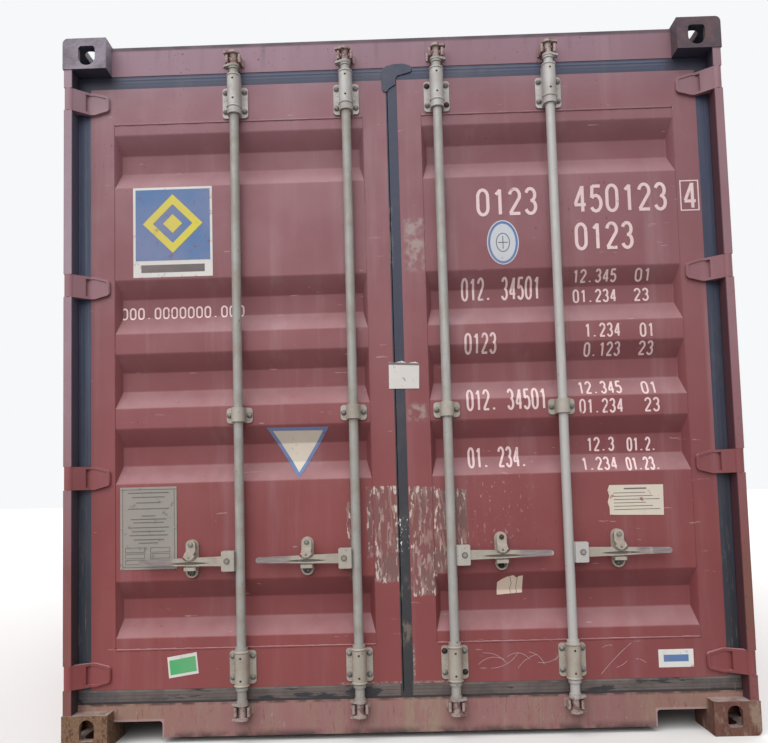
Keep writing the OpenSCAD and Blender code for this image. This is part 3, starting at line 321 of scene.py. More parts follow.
def sill_paint():
    m = Material("sill_paint")
    colour = chips(m, faded_paint_and_sheen(m), 0.62)
    colour = m.mix(0.3, colour, PAINT_DUST_AND_SHEEN)
    across = m.math("ABSOLUTE", m.x)
    colour = m.mix(m.ramp(across, 0.70, 1.00, 0.18, 0.65), colour, SILL_DUST)
    colour = m.mix(m.ramp(m.x, 0.2, 0.9, 0.0, 0.2), colour, PAINT_DARK)
    streaks = m.ramp(m.noise(1.0, 6, 0.65, (22, 22, 3.5), (4, 4, 4)), 0.40, 0.72)
    colour = m.mix(m.math("MULTIPLY", streaks, 0.45), colour, SAND)
    scratches = m.ramp(m.noise(1.0, 5, 0.7, (90, 90, 14), (2, 5, 3)), 0.56, 0.64, 0.0, 0.5)
    colour = m.mix(m.both(scratches, m.ramp(m.noise(5, 4), 0.4, 0.6)), colour, PAINT_DARK)
    pale = m.ramp(m.noise(1.0, 5, 0.7, (60, 60, 26), (9, 1, 5)), 0.60, 0.66, 0.0, 0.5)
    colour = m.mix(pale, colour, PRIMER)
    middle = m.both(m.zone((-0.02, 0.12), (0.0, 0.16), 0.04), m.ramp(m.noise(20, 5, 0.7, (2, 2, 0.5)), 0.35, 0.6))
    colour = m.mix(m.math("MULTIPLY", middle, 0.9), colour, SAND)
    darkening = m.both(m.ramp(m.z, 0.05, 0.015), m.ramp(m.noise(14, 5), 0.35, 0.6))
    colour = m.mix(darkening, colour, GRIME)
    edge = m.both(m.ramp(m.z, 0.128, 0.14), m.ramp(m.noise(24, 5), 0.35, 0.6))
    colour = m.mix(m.both(edge, m.ramp(m.upward(), 0.5, 0.1)), colour, GRIME)
    worn = m.ramp(m.noise(1.0, 6, 0.65, (9, 26, 9)), 0.35, 0.7, 0.35, 0.85)
    colour = m.mix(m.both(m.upward(), worn), colour, RUST_GREY)
    # Painted highlight along the folded upper rim of each cut-out
    rim = m.both(m.ramp(across, SILL_CUT - 0.007, SILL_CUT - 0.004), m.ramp(m.z, 0.087, 0.083))
    colour = m.mix(m.math("MULTIPLY", rim, 0.5), colour, PAINT_DUST_AND_SHEEN)
    return m.finish(colour, 0.7, bumps=paint_bumps(m))


def header_paint():
    m = Material("header_paint")
    colour = chips(m, faded_paint_and_sheen(m))
    rim = m.math("MULTIPLY", m.ramp(m.z, 2.566, 2.576), m.ramp(m.noise(8, 5), 0.3, 0.6, 0.65, 1.0))
    colour = m.mix(rim, colour, CASTING_DARK)
    drips = m.both(m.ramp(m.z, 2.44, 2.58), m.ramp(m.noise(1.0, 6, 0.6, (26, 26, 2)), 0.5, 0.75, 0.0, 0.4))
    colour = m.mix(drips, colour, CASTING_DARK)
    return m.finish(colour, 0.62, bumps=paint_bumps(m))


def post_greyness(m):
    """The left post is greyer than the right one, both more towards the top."""
    return m.both(m.ramp(m.z, 0.3, 1.6, 0.1, 1.0), m.ramp(m.x, -0.5, 0.5, 1.0, 0.4))


def post_paint():
    m = Material("post_paint")
    colour = chips(m, faded_paint_and_sheen(m), 0.60)
    colour = m.mix(m.both(m.ramp(m.noise(3, 5), 0.3, 0.7, 0.55, 0.85), post_greyness(m)), colour, POST_GREY)
    low = m.ramp(m.z, 1.4, 0.3)
    rust = m.ramp(m.noise(9, 6, 0.7, (1, 1, 0.35)), 0.42, 0.62, 0.35, 1.0)
    colour = m.mix(m.both(m.math("ADD", m.math("MULTIPLY", low, 0.62), 0.12), rust), colour, RUST_LIGHT)
    spots = m.ramp(m.noise(34, 5, 0.7, (1, 1, 0.5)), 0.62, 0.68)
    colour = m.mix(m.both(low, spots), colour, RUST)
    # Painted shade on the webs inside the strips, which face the gaskets: dark grey low on the left and bluer higher
    # up, dark maroon on the right, near black under the top castings
    across = m.math("ABSOLUTE", m.x)
    web = m.both(m.ramp(across, STRIP_IN + 0.0035, STRIP_IN + 0.0005), m.ramp(m.y, -3.024, -3.016))
    darkening = m.mix(m.ramp(m.z, 0.2, 1.6), WEB_SHADE_LOW, WEB_SHADE_HIGH)
    darkening = m.mix(m.ramp(m.x, -0.5, 0.5), darkening, PAINT_SHADE)
    darkening = m.mix(m.ramp(m.z, 2.30, 2.42), darkening, UNDERSIDE_SHADE)
    colour = m.mix(m.math("MULTIPLY", web, 0.92), colour, darkening)
    return m.finish(colour, 0.68, bumps=paint_bumps(m))


def castings():
    m = Material("castings")
    colour = m.mix(m.ramp(m.noise(6, 6, 0.65), 0.35, 0.65, 0.0, 0.6), CASTING, CASTING_DARK)
    colour = m.mix(m.ramp(m.x, -0.8, 0.8, 0.0, 0.97), colour, CASTING_DARK)
    # The lower ones have lost most of their paint: the left one to tan flakes, the right one to rust
    low = m.ramp(m.z, 0.6, 0.1)
    bare = m.mix(m.ramp(m.x, 0.2, 0.6), TAN, m.mix(m.ramp(m.noise(11, 5, 0.6), 0.35, 0.65), RUST_LIGHT, RUST_RED))
    bands = m.ramp(m.noise(1.0, 4, 0.6, (34, 34, 5), (1, 3, 2)), 0.42, 0.58)
    pits = m.ramp(m.noise(1.0, 4, 0.7, (150, 150, 95)), 0.49, 0.56)
    bare = m.mix(m.both(m.math("ADD", m.math("MULTIPLY", bands, 0.75), 0.15), pits), bare, RUST)
    smears = m.both(m.ramp(m.noise(1.0, 4, 0.6, (26, 26, 9), (6, 6, 1)), 0.50, 0.66, 0.0, 0.7), m.ramp(m.x, 0.2, 0.6))
    bare = m.mix(smears, bare, SAND)
    colour = m.mix(low, colour, bare)
    ledge = m.both(m.both(low, m.upward()), m.ramp(m.noise(16, 5), 0.3, 0.6, 0.3, 0.9))
    colour = m.mix(ledge, colour, PRIMER)
    spots = m.both(m.ramp(m.noise(40, 4), 0.60, 0.66), m.ramp(m.z, 0.6, 0.1, 0.15, 0.7))
    colour = m.mix(spots, colour, RUST)
    dirt = m.both(m.ramp(m.x, 0.2, 0.8), m.ramp(m.noise(24, 5, 0.65), 0.40, 0.65, 0.0, 0.45))
    colour = m.mix(m.both(dirt, m.ramp(m.z, 0.6, 2.0)), colour, SCRAPED)
    # Painted shade on faces that look down, deeper on the upper castings
    colour = m.mix(m.both(m.downward(), m.ramp(m.z, 0.6, 2.0, 0.3, 0.95)), colour, UNDERSIDE_SHADE)
    return m.finish(colour, 0.78, bumps=[(m.noise(55, 5), 0.0035), (m.noise(300, 3), 0.0008)])


ROD_X = (0.170, 0.588)
CATCH_X = (0.349, 0.767)
HUB_BOLT_X = (0.2145, 0.6325)
HANDLE_Z = 0.643


def gear_finish(m, colour, rust=0.8):
    """Zinc that has gone dull, with rust on the cams and in small spots."""
    colour = m.mix(m.ramp(m.noise(5, 5, 0.6, (6, 6, 0.8)), 0.58, 0.8, 0.0, 0.4), colour, WHITE)
    ends = m.math("ADD", m.ramp(m.z, 0.16, 0.12), m.ramp(m.z, 2.475, 2.49), clamp=True)
    colour = m.mix(m.math("MULTIPLY", ends, 0.85), colour, GEAR_PINK)
    colour = m.mix(m.both(ends, m.ramp(m.noise(44, 5, 0.65), 0.48, 0.58, 0.0, rust)), colour, RUST_RED)
    colour = m.mix(m.ramp(m.noise(70, 4), 0.68, 0.74, 0.0, 0.7), colour, RUST)
    return m.finish(colour, m.ramp(m.noise(20, 4), 0.3, 0.7, 0.45, 0.65), metallic=0.15, specular=0.45,
                    bumps=[(m.noise(120, 4), 0.0007)])


def rod_metal():
    m = Material("door_gear")
    colour = m.mix(m.ramp(m.noise(14, 5, 0.6), 0.35, 0.7, 0.0, 0.55), GEAR, GEAR_DIRT)
    hub = m.both(m.ramp(m.from_places(ROD_X), 0.018, 0.022), m.zone((-1.2, 1.2), (0.55, 0.74), 0.01))
    colour = m.mix(m.math("MULTIPLY", hub, 0.8), colour, GEAR_WARM)
    colour = m.mix(m.ramp(m.x, 0.0, 0.5, 0.0, 0.85), colour, GEAR_PALE)
    # Painted shadow, with some grime, round the bolt of each hub
    across, above = m.from_places(HUB_BOLT_X), m.math("SUBTRACT", m.z, HANDLE_Z)
    away = m.math("SQRT", m.math("ADD", m.both(across, across), m.both(above, above)))
    ring = m.both(m.ramp(away, 0.0050, 0.0085, 0.45, 0.75), m.ramp(away, 0.0125, 0.0100))
    colour = m.mix(ring, colour, GEAR_SHADOW)
    return gear_finish(m, colour)


def fitting_metal():
    m = Material("door_fittings")
    colour = m.mix(m.ramp(m.z, 0.7, 2.2), GEAR_WARM, GEAR_PALE)
    return gear_finish(m, m.mix(m.ramp(m.noise(14, 5, 0.6), 0.35, 0.7, 0.0, 0.5), colour, GEAR_DIRT))


def handle_metal():
    """A pressed groove behind the catch, darkened with painted shade, and a bare tip."""
    m = Material("handles")
    colour = m.mix(m.ramp(m.noise(14, 5, 0.6), 0.35, 0.7, 0.0, 0.5), GEAR_WARM, GEAR_DIRT)
    across = m.math("ABSOLUTE", m.x)
    for start, end in ((0.395, 0.60), (0.813, 1.0)):
        tip = m.both(m.ramp(across, start, start + 0.03), m.ramp(across, end, end - 0.01))
        scratched = m.ramp(m.noise(1.0, 5, 0.6, (20, 20, 220)), 0.35, 0.65, 0.5, 0.95)
        colour = m.mix(m.both(tip, scratched), colour, GEAR_TIP)
    # Painted shade in the pressed groove behind each catch
    reach = m.math("DIVIDE", m.from_places(CATCH_X), 0.072)
    half = m.math("MULTIPLY", m.math("SUBTRACT", 1.0, m.both(reach, reach)), 0.0048)
    above = m.math("ABSOLUTE", m.math("SUBTRACT", m.z, HANDLE_Z - 0.005))
    groove = m.ramp(m.math("SUBTRACT", above, half), 0.0006, -0.0006)
    colour = m.mix(m.math("MULTIPLY", groove, 0.85), colour, GEAR_SHADOW)
    return gear_finish(m, colour)


def keeper_metal():
    m = Material("keepers")
    return gear_finish(m, m.mix(m.ramp(m.noise(14, 5, 0.6), 0.35, 0.7, 0.0, 0.5), GEAR_PINK, GEAR_DIRT), 0.6)


def bolt_metal():
    m = Material("bolts")
    return m.finish(m.mix(m.ramp(m.noise(80, 4), 0.35, 0.65), BOLT_GREY, BOLT_SHADE), 0.6, metallic=0.1,
                    bumps=[(m.noise(200, 3), 0.0004)])


def door_gasket():
    m = Material("door_gasket")
    colour = m.mix(m.ramp(m.z, 0.2, 2.4), RUBBER_LOW, RUBBER_HIGH)
    streaks = m.ramp(m.noise(1.0, 4, 0.6, (75, 2, 1.2)), 0.40, 0.66, 0.3, 1.0)
    sides = m.math("ADD", m.ramp(m.x, -1.0, -1.1, 0.0, 1.0), m.ramp(m.x, 1.0, 1.1, 0.0, 0.4))
    shine = m.both(m.both(streaks, sides), m.ramp(m.z, 0.3, 2.2, 0.3, 0.8))
    colour = m.mix(shine, colour, RUBBER_SHINE)
    colour = m.mix(m.both(m.zone((-0.04, 0.04), (0.1, 1.2), 0.05), 0.35), colour, BLACK)
    dust = m.ramp(m.noise(7, 6, 0.7, (1, 1, 0.5)), 0.5, 0.75, 0.0, 0.18)
    colour = m.mix(dust, colour, RUBBER_DUST)
    # Ribs along the top, lit by the sky
    ribs = m.both(m.ramp(m.math("PINGPONG", m.z, 0.0062), 0.0015, 0.0045), m.ramp(m.z, 2.425, 2.430))
    ribs = m.both(ribs, m.ramp(m.y, -2.9676, -2.9668))
    colour = m.mix(m.both(ribs, m.ramp(m.z, 2.428, 2.466, 0.05, 0.5)), colour, RUBBER_SHINE)
    # Deep shade under the top castings
    corner = m.both(m.ramp(m.math("ABSOLUTE", m.x), 1.00, 1.06), m.ramp(m.z, 2.36, 2.41))
    colour = m.mix(m.math("MULTIPLY", corner, 0.9), colour, UNDERSIDE_SHADE)
    # Dried mud and bare patches along the bottom, paler on its upper edge, with a black line under it
    joint = m.zone((-0.026, 0.018), (0.0, 0.4), 0.004)
    bottom = m.both(m.ramp(m.z, 0.200, 0.188), m.ramp(joint, 0.9, 0.1))
    colour = m.mix(m.both(bottom, m.ramp(m.noise(6, 6, 0.65), 0.3, 0.6, 0.3, 0.85)), colour, RUBBER_MUD)
    # Painted shade in lines along the bottom, standing for the grooves between its ribs
    lines = m.both(bottom, m.ramp(m.math("PINGPONG", m.z, 0.0065), 0.0022, 0.0))
    colour = m.mix(m.math("MULTIPLY", lines, 0.45), colour, RUBBER_LOW)
    patches = m.both(bottom, m.ramp(m.noise(13, 4, 0.6, (0.5, 1, 2.5)), 0.55, 0.6))
    colour = m.mix(patches, colour, RUBBER_LOW)
    rim = m.both(m.both(bottom, m.ramp(m.z, 0.180, 0.184)), m.ramp(m.noise(9, 5, 0.6), 0.35, 0.6))
    colour = m.mix(rim, colour, RUBBER_DUST)
    colour = m.mix(m.ramp(m.z, 0.150, 0.146), colour, BLACK)
    side = m.ramp(m.math("ABSOLUTE", m.x), 1.0, 1.1)
    scratches = m.both(m.ramp(m.z, 1.0, 0.4), m.ramp(m.noise(1.0, 4, 0.7, (160, 40, 9), (7, 2, 2)), 0.58, 0.64))
    colour = m.mix(m.both(side, m.math("MULTIPLY", scratches, 0.5)), colour, RUBBER_DUST)
    worn = m.both(m.zone((-0.03, 0.03), (0.33, 0.56), 0.03), m.ramp(m.noise(16, 5, 0.7, (2, 1, 0.7)), 0.5, 0.62))
    colour = m.mix(m.math("MULTIPLY", worn, 0.5), colour, GEAR_DIRT)
    marks = m.both(m.zone((-0.017, 0.019), (0.657, 0.780), 0.01), m.ramp(m.noise(1.0, 4, 0.6, (150, 40, 60)), 0.60, 0.63))
    colour = m.mix(marks, colour, WHITE)
    rub = m.both(m.zone((-0.024, -0.010), (1.70, 1.93), 0.008), m.ramp(m.noise(1.0, 5, 0.7, (60, 20, 24)), 0.46, 0.56))
    colour = m.mix(m.math("MULTIPLY", rub, 0.7), colour, RUBBER_DUST)
    return m.finish(colour, 0.55, specular=0.5, bumps=[(m.noise(30, 4), 0.0012)])


def plywood():
    m = Material("plywood")
    grain = m.noise(3, 8, 0.65, (14, 0.8, 1))
    colour = m.mix(m.ramp(grain, 0.35, 0.65), WOOD, WOOD_DARK)
    boards = m.math("PINGPONG", m.y, 0.61)
    colour = m.mix(m.ramp(boards, 0.004, 0.0), colour, RUST)
    return m.finish(colour, 0.65, bumps=[(grain, 0.0015)])


def vent_plastic():
    m = Material("vent_plastic")
    colour = m.mix(m.ramp(m.noise(30, 4), 0.3, 0.7), PLASTIC, INK)
    return m.finish(colour, 0.55, bumps=[(m.noise(200, 2), 0.0003)])


def base_paint():
    m = Material("base_paint")
    colour = chips(m, m.mix(m.ramp(m.noise(3, 5), 0.3, 0.7), PAINT_DARK, PAINT_LOW), 0.6)
    colour = m.mix(m.ramp(m.noise(8, 6, 0.7), 0.5, 0.8, 0.0, 0.6), colour, SAND)
    return m.finish(colour, 0.75, bumps=paint_bumps(m))


def flat_print(name, colour, worn=0.25, roughness=0.6, under=PAINT_LOW):
    """Paint or foil of a sign, a little worn and dusty."""
    m = Material(name)
    wear = m.ramp(m.noise(34, 6, 0.7), 0.62 - worn * 0.3, 0.74 - worn * 0.2, 0.0, 0.85)
    shade = m.mix(m.ramp(m.noise(5, 5), 0.3, 0.7, 0.0, 0.25), colour, PAINT_DUST_AND_SHEEN)
    return m.finish(m.mix(wear, shade, under), roughness, bumps=[(m.noise(150, 2), 0.0001)])


STRIP_IN = 1.186
SILL_CUT = 0.881


def soften(width, *names):
    """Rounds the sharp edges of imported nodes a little, as paint and wear do."""
    for name in names:
        bevel = NODES[name].modifiers.new("soft_edges", "BEVEL")
        bevel.width = width
        bevel.segments = 2
        bevel.limit_method = "ANGLE"
        bevel.angle_limit = math.radians(35)


def give(material, *names):
    for name in names:
        data = NODES[name].data
        data.materials.clear()
        data.materials.append(material)


# Camera at the photo's angle, found from the corner castings and the edges of the doors, in pixels of a picture
# 768 wide. The photo is like a 3:4 picture cut at its lower end, so its optical centre lies below its middle.

PICTURE_W = 768
SENSOR_W = 36.0
FOCAL = 757.7
LENS_SHIFT = 68.5
EYE = Vector((-23.6, -5727.2, 875.1)) * MM
YAW, PITCH, ROLL = (math.radians(a) for a in (-0.792, 3.900, -1.540))


def camera():
    data = bpy.data.cameras.new("camera")
    data.sensor_width = SENSOR_W
    data.lens = FOCAL / PICTURE_W * SENSOR_W
    data.shift_y = LENS_SHIFT / PICTURE_W
    data.clip_end = 200
    forward = Vector((math.sin(YAW) * math.cos(PITCH), math.cos(YAW) * math.cos(PITCH), math.sin(PITCH)))
    right = Vector((math.cos(YAW), -math.sin(YAW), 0))
    up = right.cross(forward)
    turned_right = right * math.cos(ROLL) + up * math.sin(ROLL)
    turned_up = up * math.cos(ROLL) - right * math.sin(ROLL)
    seen = bpy.data.objects.new("camera", data)
    seen.matrix_world = Matrix.Translation(EYE) @ Matrix((turned_right, turned_up, -forward)).transposed().to_4x4()
    bpy.context.scene.collection.objects.link(seen)
    bpy.context.scene.camera = seen


def sun(name, strength, towards, angle):
    data = bpy.data.lights.new(name, "SUN")
    data.energy = strength
    data.angle = math.radians(angle)
    lamp = bpy.data.objects.new(name, data)
    lamp.rotation_mode = "QUATERNION"
    lamp.rotation_quaternion = Vector(towards).to_track_quat("-Z", "Y")
    bpy.context.scene.collection.objects.link(lamp)


def seen_directly(tree):
    """1 for the rays whose background is shown: from the camera and through gloss and glass."""
    path = tree.nodes.new("ShaderNodeLightPath")
    total = path.outputs["Is Camera Ray"]
    for name in ("Is Glossy Ray", "Is Transmission Ray"):
        add = tree.nodes.new("ShaderNodeMath")
        add.operation = "ADD"
        add.use_clamp = True
        tree.links.new(total, add.inputs[0])
        tree.links.new(path.outputs[name], add.inputs[1])
        total = add.outputs[0]
    return total


def world():
    made = bpy.data.worlds.new("studio")
    made.use_nodes = True
    tree = made.node_tree
    background = tree.nodes["Background"]
    mix = tree.nodes.new("ShaderNodeMix")
    mix.data_type = "RGBA"
    tree.links.new(seen_directly(tree), mix.inputs[0])
    mix.inputs[6].default_value = (0.50, 0.51, 0.53, 1)
    mix.inputs[7].default_value = (0.93, 0.94, 0.95, 1)
    tree.links.new(mix.outputs[2], background.inputs["Color"])
    bpy.context.scene.world = made


def studio_floor():
    bpy.ops.mesh.primitive_plane_add(size=160, location=(0, 0, 0))
    plane = bpy.context.object
    plane.name = "studio_floor"
    material = bpy.data.materials.new("studio_floor")
    material.use_nodes = True
    tree = material.node_tree
    mix = tree.nodes.new("ShaderNodeMix")
    mix.data_type = "RGBA"
    tree.links.new(seen_directly(tree), mix.inputs[0])
    mix.inputs[6].default_value = (0.15, 0.145, 0.14, 1)
    mix.inputs[7].default_value = (0.80, 0.79, 0.77, 1)
    tree.links.new(mix.outputs[2], tree.nodes["Principled BSDF"].inputs["Base Color"])
    tree.nodes["Principled BSDF"].inputs["Roughness"].default_value = 0.9
    plane.data.materials.append(material)


bpy.context.scene.view_settings.view_transform = "Standard"
camera()
sun("key", 2.6, (0.25, 0.66, -0.75), 70)
sun("back", 1.5, (-0.45, -0.75, -0.60), 80)
world()
studio_floor()


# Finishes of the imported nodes

PAINTED = container_paint()
DOOR_PAINT = door_paint()
POST_PAINT = post_paint()
BASE_PAINT = base_paint()
GEAR_METAL = rod_metal()
FITTINGS = fitting_metal()
HANDLES = handle_metal()
KEEPERS = keeper_metal()
BOLTS = bolt_metal()
RUBBER = door_gasket()

give(header_paint(), "door_header")
give(PAINTED, "front_posts", "top_side_rails", "bottom_side_rails", "front_top_rail",
     "front_bottom_rail", "side_wall_left", "side_wall_right", "front_wall", "roof")
give(sill_paint(), "door_sill")
give(POST_PAINT, "rear_post_left", "rear_post_right", "hinge_pins")
give(BASE_PAINT, "cross_members", "fork_pockets")
give(castings(), "top_castings", "bottom_castings")
give(plywood(), "floor")
give(vent_plastic(), "ventilators")
give(KEEPERS, "cam_keepers")
for side in DOORS:
    give(DOOR_PAINT, side + "_leaf_frame", side + "_leaf_panel", side + "_hinge_blades")
    give(RUBBER, side + "_gasket")
    give(FITTINGS, side + "_rod_brackets", side + "_handle_retainers")
for number in range(1, 5):
    give(GEAR_METAL, "lock_rod_%d" % number)
    give(HANDLES, "handle_%d" % number)
    give(FITTINGS, "handle_catch_%d" % number)

soften(0.004, "top_castings", "bottom_castings")
soften(0.0025, "door_header", "door_sill", "rear_post_left", "rear_post_right")
soften(0.0015, "cam_keepers")
for side in DOORS:
    soften(0.002, side + "_leaf_frame", side + "_hinge_blades", side + "_rod_brackets", side + "_gasket")
    soften(0.001, side + "_handle_retainers")
for number in range(1, 5):
    soften(0.0015, "lock_rod_%d" % number)
    soften(0.001, "handle_%d" % number, "handle_catch_%d" % number)


# Pieces

def piece(name, bm, material, body, smooth=False):
    """One new piece from a bmesh whose points are in the frame, riding on a body."""
    bmesh.ops.recalc_face_normals(bm, faces=bm.faces)
    mesh = bpy.data.meshes.new(name)
    bm.to_mesh(mesh)
    bm.free()
    for polygon in mesh.polygons:
        polygon.use_smooth = smooth
    mesh.materials.append(material)
    made = bpy.data.objects.new(name, mesh)
    bpy.context.scene.collection.objects.link(made)
    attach(made, body)
    return made


def lathe(bm, profile, at, axis, steps=16):
    """Turns (radius, height) points round an axis at a place."""
    turn = Vector(axis).to_track_quat("Z", "Y").to_matrix()
    rings = []
    for radius, height in profile:
        ring = []
        for i in range(steps):
            a = math.tau * i / steps
            ring.append(bm.verts.new(Vector(at) + turn @ Vector((radius * math.cos(a), radius * math.sin(a), height))))
        rings.append(ring)
    for low, high in zip(rings, rings[1:]):
        for i in range(steps):
            bm.faces.new((low[i], low[(i + 1) % steps], high[(i + 1) % steps], high[i]))
    bm.faces.new(rings[-1])
    bm.faces.new(list(reversed(rings[0])))


def dome_profile(radius, height, washer=0.0):
    """A low round head on an optional washer, as (radius, height) points."""
    points = [(radius + washer, 0.0), (radius + washer, 0.002), (radius, 0.002)] if washer else [(radius, 0.0)]
    base = 0.002 if washer else 0.0
    for i in range(1, 6):
        a = math.radians(i * 17)
        points.append((radius * math.cos(a), base + height * math.sin(a)))
    return points


# Pressed sheets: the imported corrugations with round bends

def bends(node, run, depth):
    """The bends of a corrugated node in order, as (run, lowest depth, highest depth)."""
    found = {}
    for v in NODES[node].data.vertices:
        key = round(v.co[run], 5)
        low, high = found.get(key, (math.inf, -math.inf))
        found[key] = (min(low, v.co[depth]), max(high, v.co[depth]))
    return [(key, *found[key]) for key in sorted(found)]


def rounded(points, radius, steps=5):
    """A line in the plane whose corners are replaced by arcs."""
    line = [Vector(points[0])]
    for before, corner, after in zip(points, points[1:], points[2:]):
        a, b = (Vector(before) - Vector(corner)), (Vector(after) - Vector(corner))
        turn = math.pi - a.angle(b)
        cut = min(radius * math.tan(turn / 2), a.length * 0.45, b.length * 0.45)
        start, end = Vector(corner) + a.normalized() * cut, Vector(corner) + b.normalized() * cut
        for i in range(steps + 1):
            t = i / steps
            line.append(start.lerp(Vector(corner), t).lerp(Vector(corner).lerp(end, t), t))
    line.append(Vector(points[-1]))
    return line


def pressed_sheet(name, node, axes, radius, material, body):
    """Stands for a corrugated node. axes are those of its run, its depth and its straight length."""
    run, depth, along = axes
    found = bends(node, run, depth)
    low = rounded([(r, a) for r, a, _ in found], radius)
    high = rounded([(r, b) for r, _, b in found], radius)
    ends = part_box(node)
    bm = bmesh.new()
    rows = []
    for line in (low, high):
        for end in ends:
            row = []
            for p in line:
                place = Vector((0, 0, 0))
                place[run], place[depth], place[along] = p[0], p[1], end[along]
                row.append(bm.verts.new(place))
            rows.append(row)
    a, b, c, d = rows
    for i in range(len(low) - 1):
        for first, second in ((a, b), (d, c), (b, d), (c, a)):
            bm.faces.new((first[i], first[i + 1], second[i + 1], second[i]))
    for i in (0, -1):
        bm.faces.new((a[i], b[i], d[i], c[i]))
    made = piece(name, bm, material, body, True)
    made.data.set_sharp_from_angle(angle=math.radians(40))
    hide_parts(node)


DOOR_BEND = 0.014
WALL_BEND = 0.020
# How deep a door's recess may be at a distance from the panel's end, which makes its ends slope
RECESS_END = [(p[0], max(p[1], 0.0002)) for p in rounded([(0, 0), (0.003, 0), (0.020, 0.036), (0.08, 0.036)], 0.006)]


def limited(points, limit):
    """A corrugated line of (run, depth) cut off at a limit, with the same number of corners."""
    line = [points[0]]
    for i in range(1, len(points) - 1, 4):
        a, b, c, d = points[i:i + 4]
        part = min(1.0, limit / b[1])
        line += [a, (a[0] + (b[0] - a[0]) * part, b[1] * part), (d[0] + (c[0] - d[0]) * part, c[1] * part), d]
    return line + [points[-1]]


def door_panel(side):
    """Stands for a leaf's packed panel: recesses with round bends that slope out at both ends."""
    node = side + "_leaf_panel"
    found = bends(node, 2, 1)
    thickness = found[0][2] - found[0][1]
    front = found[0][1]
    points = [(z, high - thickness - front) for z, _, high in found]
    lo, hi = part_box(node)
    stations = [(lo.x + d, limit) for d, limit in RECESS_END] + [(hi.x - d, limit) for d, limit in reversed(RECESS_END)]
    lines = [rounded(limited(points, limit), DOOR_BEND) for _, limit in stations]
    bm = bmesh.new()
    sheets = [[[bm.verts.new((x, front + p[1] + back, p[0])) for p in line] for (x, _), line in zip(stations, lines)]
              for back in (0.0, thickness)]
    for sheet in sheets:
        for a, b in zip(sheet, sheet[1:]):
            for i in range(len(a) - 1):
                bm.faces.new((a[i], a[i + 1], b[i + 1], b[i]))
    outer, inner = sheets
    for k in (0, -1):
        for i in range(len(outer[k]) - 1):
            bm.faces.new((outer[k][i], outer[k][i + 1], inner[k][i + 1], inner[k][i]))
        for i in range(len(stations) - 1):
            bm.faces.new((outer[i][k], outer[i + 1][k], inner[i + 1][k], inner[i][k]))
    made = piece(side + "_door_panel", bm, DOOR_PAINT, side + "_door", True)
    made.data.set_sharp_from_angle(angle=math.radians(62))
    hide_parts(node)
    return [(p[0], front + p[1]) for p in lines[len(lines) // 2]]


FRAME_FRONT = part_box("left_leaf_frame")[0].y
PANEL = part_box("right_leaf_panel")
for side in DOORS:
    PANEL_LINE = door_panel(side)
    pressed_sheet(side + "_wall_sheet", "side_wall_" + side, (1, 0, 2), WALL_BEND, PAINTED, "container")
pressed_sheet("front_wall_sheet", "front_wall", (0, 1, 2), WALL_BEND, PAINTED, "container")


def door_face(x, z):
    """Depth of the door's face at a place: the panel's corrugated line, or the frame round it."""
    if not (PANEL[0].x < abs(x) < PANEL[1].x and PANEL[0].z < z < PANEL[1].z):
        return FRAME_FRONT
    for (z0, y0), (z1, y1) in zip(PANEL_LINE, PANEL_LINE[1:]):
        if z0 <= z <= z1:
            return y0 + (y1 - y0) * (z - z0) / (z1 - z0)
    return FRAME_FRONT


SHEET = 0.0004
STEP = 0.00003


def laid(name, outlines, material, body, level=1, thick=SHEET, y=None):
    """Thin closed shapes in (x, z), laid on the door so that they follow its corrugations."""
    bm = bmesh.new()
    order = bm.faces.layers.int.new("order")
    for i, outline in enumerate(outlines):
        bm.faces.new([bm.verts.new((x, 0, z)) for x, z in outline])[order] = i % 5
    heights = [v.co.z for v in bm.verts]
    for z, _ in PANEL_LINE:
        if not min(heights) < z < max(heights):
            continue
        everything = bm.verts[:] + bm.edges[:] + bm.faces[:]
        bmesh.ops.bisect_plane(bm, geom=everything, dist=1e-6, plane_co=(0, 0, z), plane_no=(0, 0, 1))
    for v in bm.verts:
        v.co.y = (door_face(v.co.x, v.co.z) if y is None else y) - SHEET * level - STEP * v.link_faces[0][order]
    bmesh.ops.recalc_face_normals(bm, faces=bm.faces)
    if sum(f.normal.y for f in bm.faces) > 0:
        bmesh.ops.reverse_faces(bm, faces=bm.faces)
    front = bmesh.ops.extrude_face_region(bm, geom=bm.faces[:])["geom"]
    for v in front:
        if isinstance(v, bmesh.types.BMVert):
            v.co.y -= thick
    return piece(name, bm, material, body)


def box_outline(x, z):
    return [(x[0], z[0]), (x[1], z[0]), (x[1], z[1]), (x[0], z[1])]


def ring_outlines(outer, inner):
    n = len(outer)
    return [[outer[i], outer[(i + 1) % n], inner[(i + 1) % n], inner[i]] for i in range(n)]


def border(x, z, w):
    return ring_outlines(box_outline(x, z), box_outline((x[0] + w, x[1] - w), (z[0] + w, z[1] - w)))


def oval(x, z, rx, rz, steps=40):
    return [(x + rx * math.cos(math.tau * i / steps), z + rz * math.sin(math.tau * i / steps)) for i in range(steps)]


def stroke(points, width, closed=False):
    """Quads along a line of (x, z) points, with mitred corners."""
    n = len(points)
    sides = []
    for i, p in enumerate(points):
        before = points[i - 1] if i or closed else p
        after = points[(i + 1) % n] if i < n - 1 or closed else p
        a = Vector((p[0] - before[0], p[1] - before[1]))
        b = Vector((after[0] - p[0], after[1] - p[1]))
        a = a.normalized() if a.length else b.normalized()
        b = b.normalized() if b.length else a
        along = (a + b).normalized()
        across = Vector((-along.y, along.x)) * width / 2 / max(0.7, along.dot(b))
        sides.append(((p[0] + across.x, p[1] + across.y), (p[0] - across.x, p[1] - across.y)))
    pairs = list(zip(sides, sides[1:] + sides[:1])) if closed else list(zip(sides, sides[1:]))
    return [[l0, l1, r1, r0] for (l0, r0), (l1, r1) in pairs]


def arc(x, z, rx, rz, start, end, steps=10):
    """Points of an arc in the unit box of a figure, angles in degrees."""
    angles = [math.radians(start + (end - start) * i / steps) for i in range(steps + 1)]
    return [(x + rx * math.cos(a), z + rz * math.sin(a)) for a in angles]


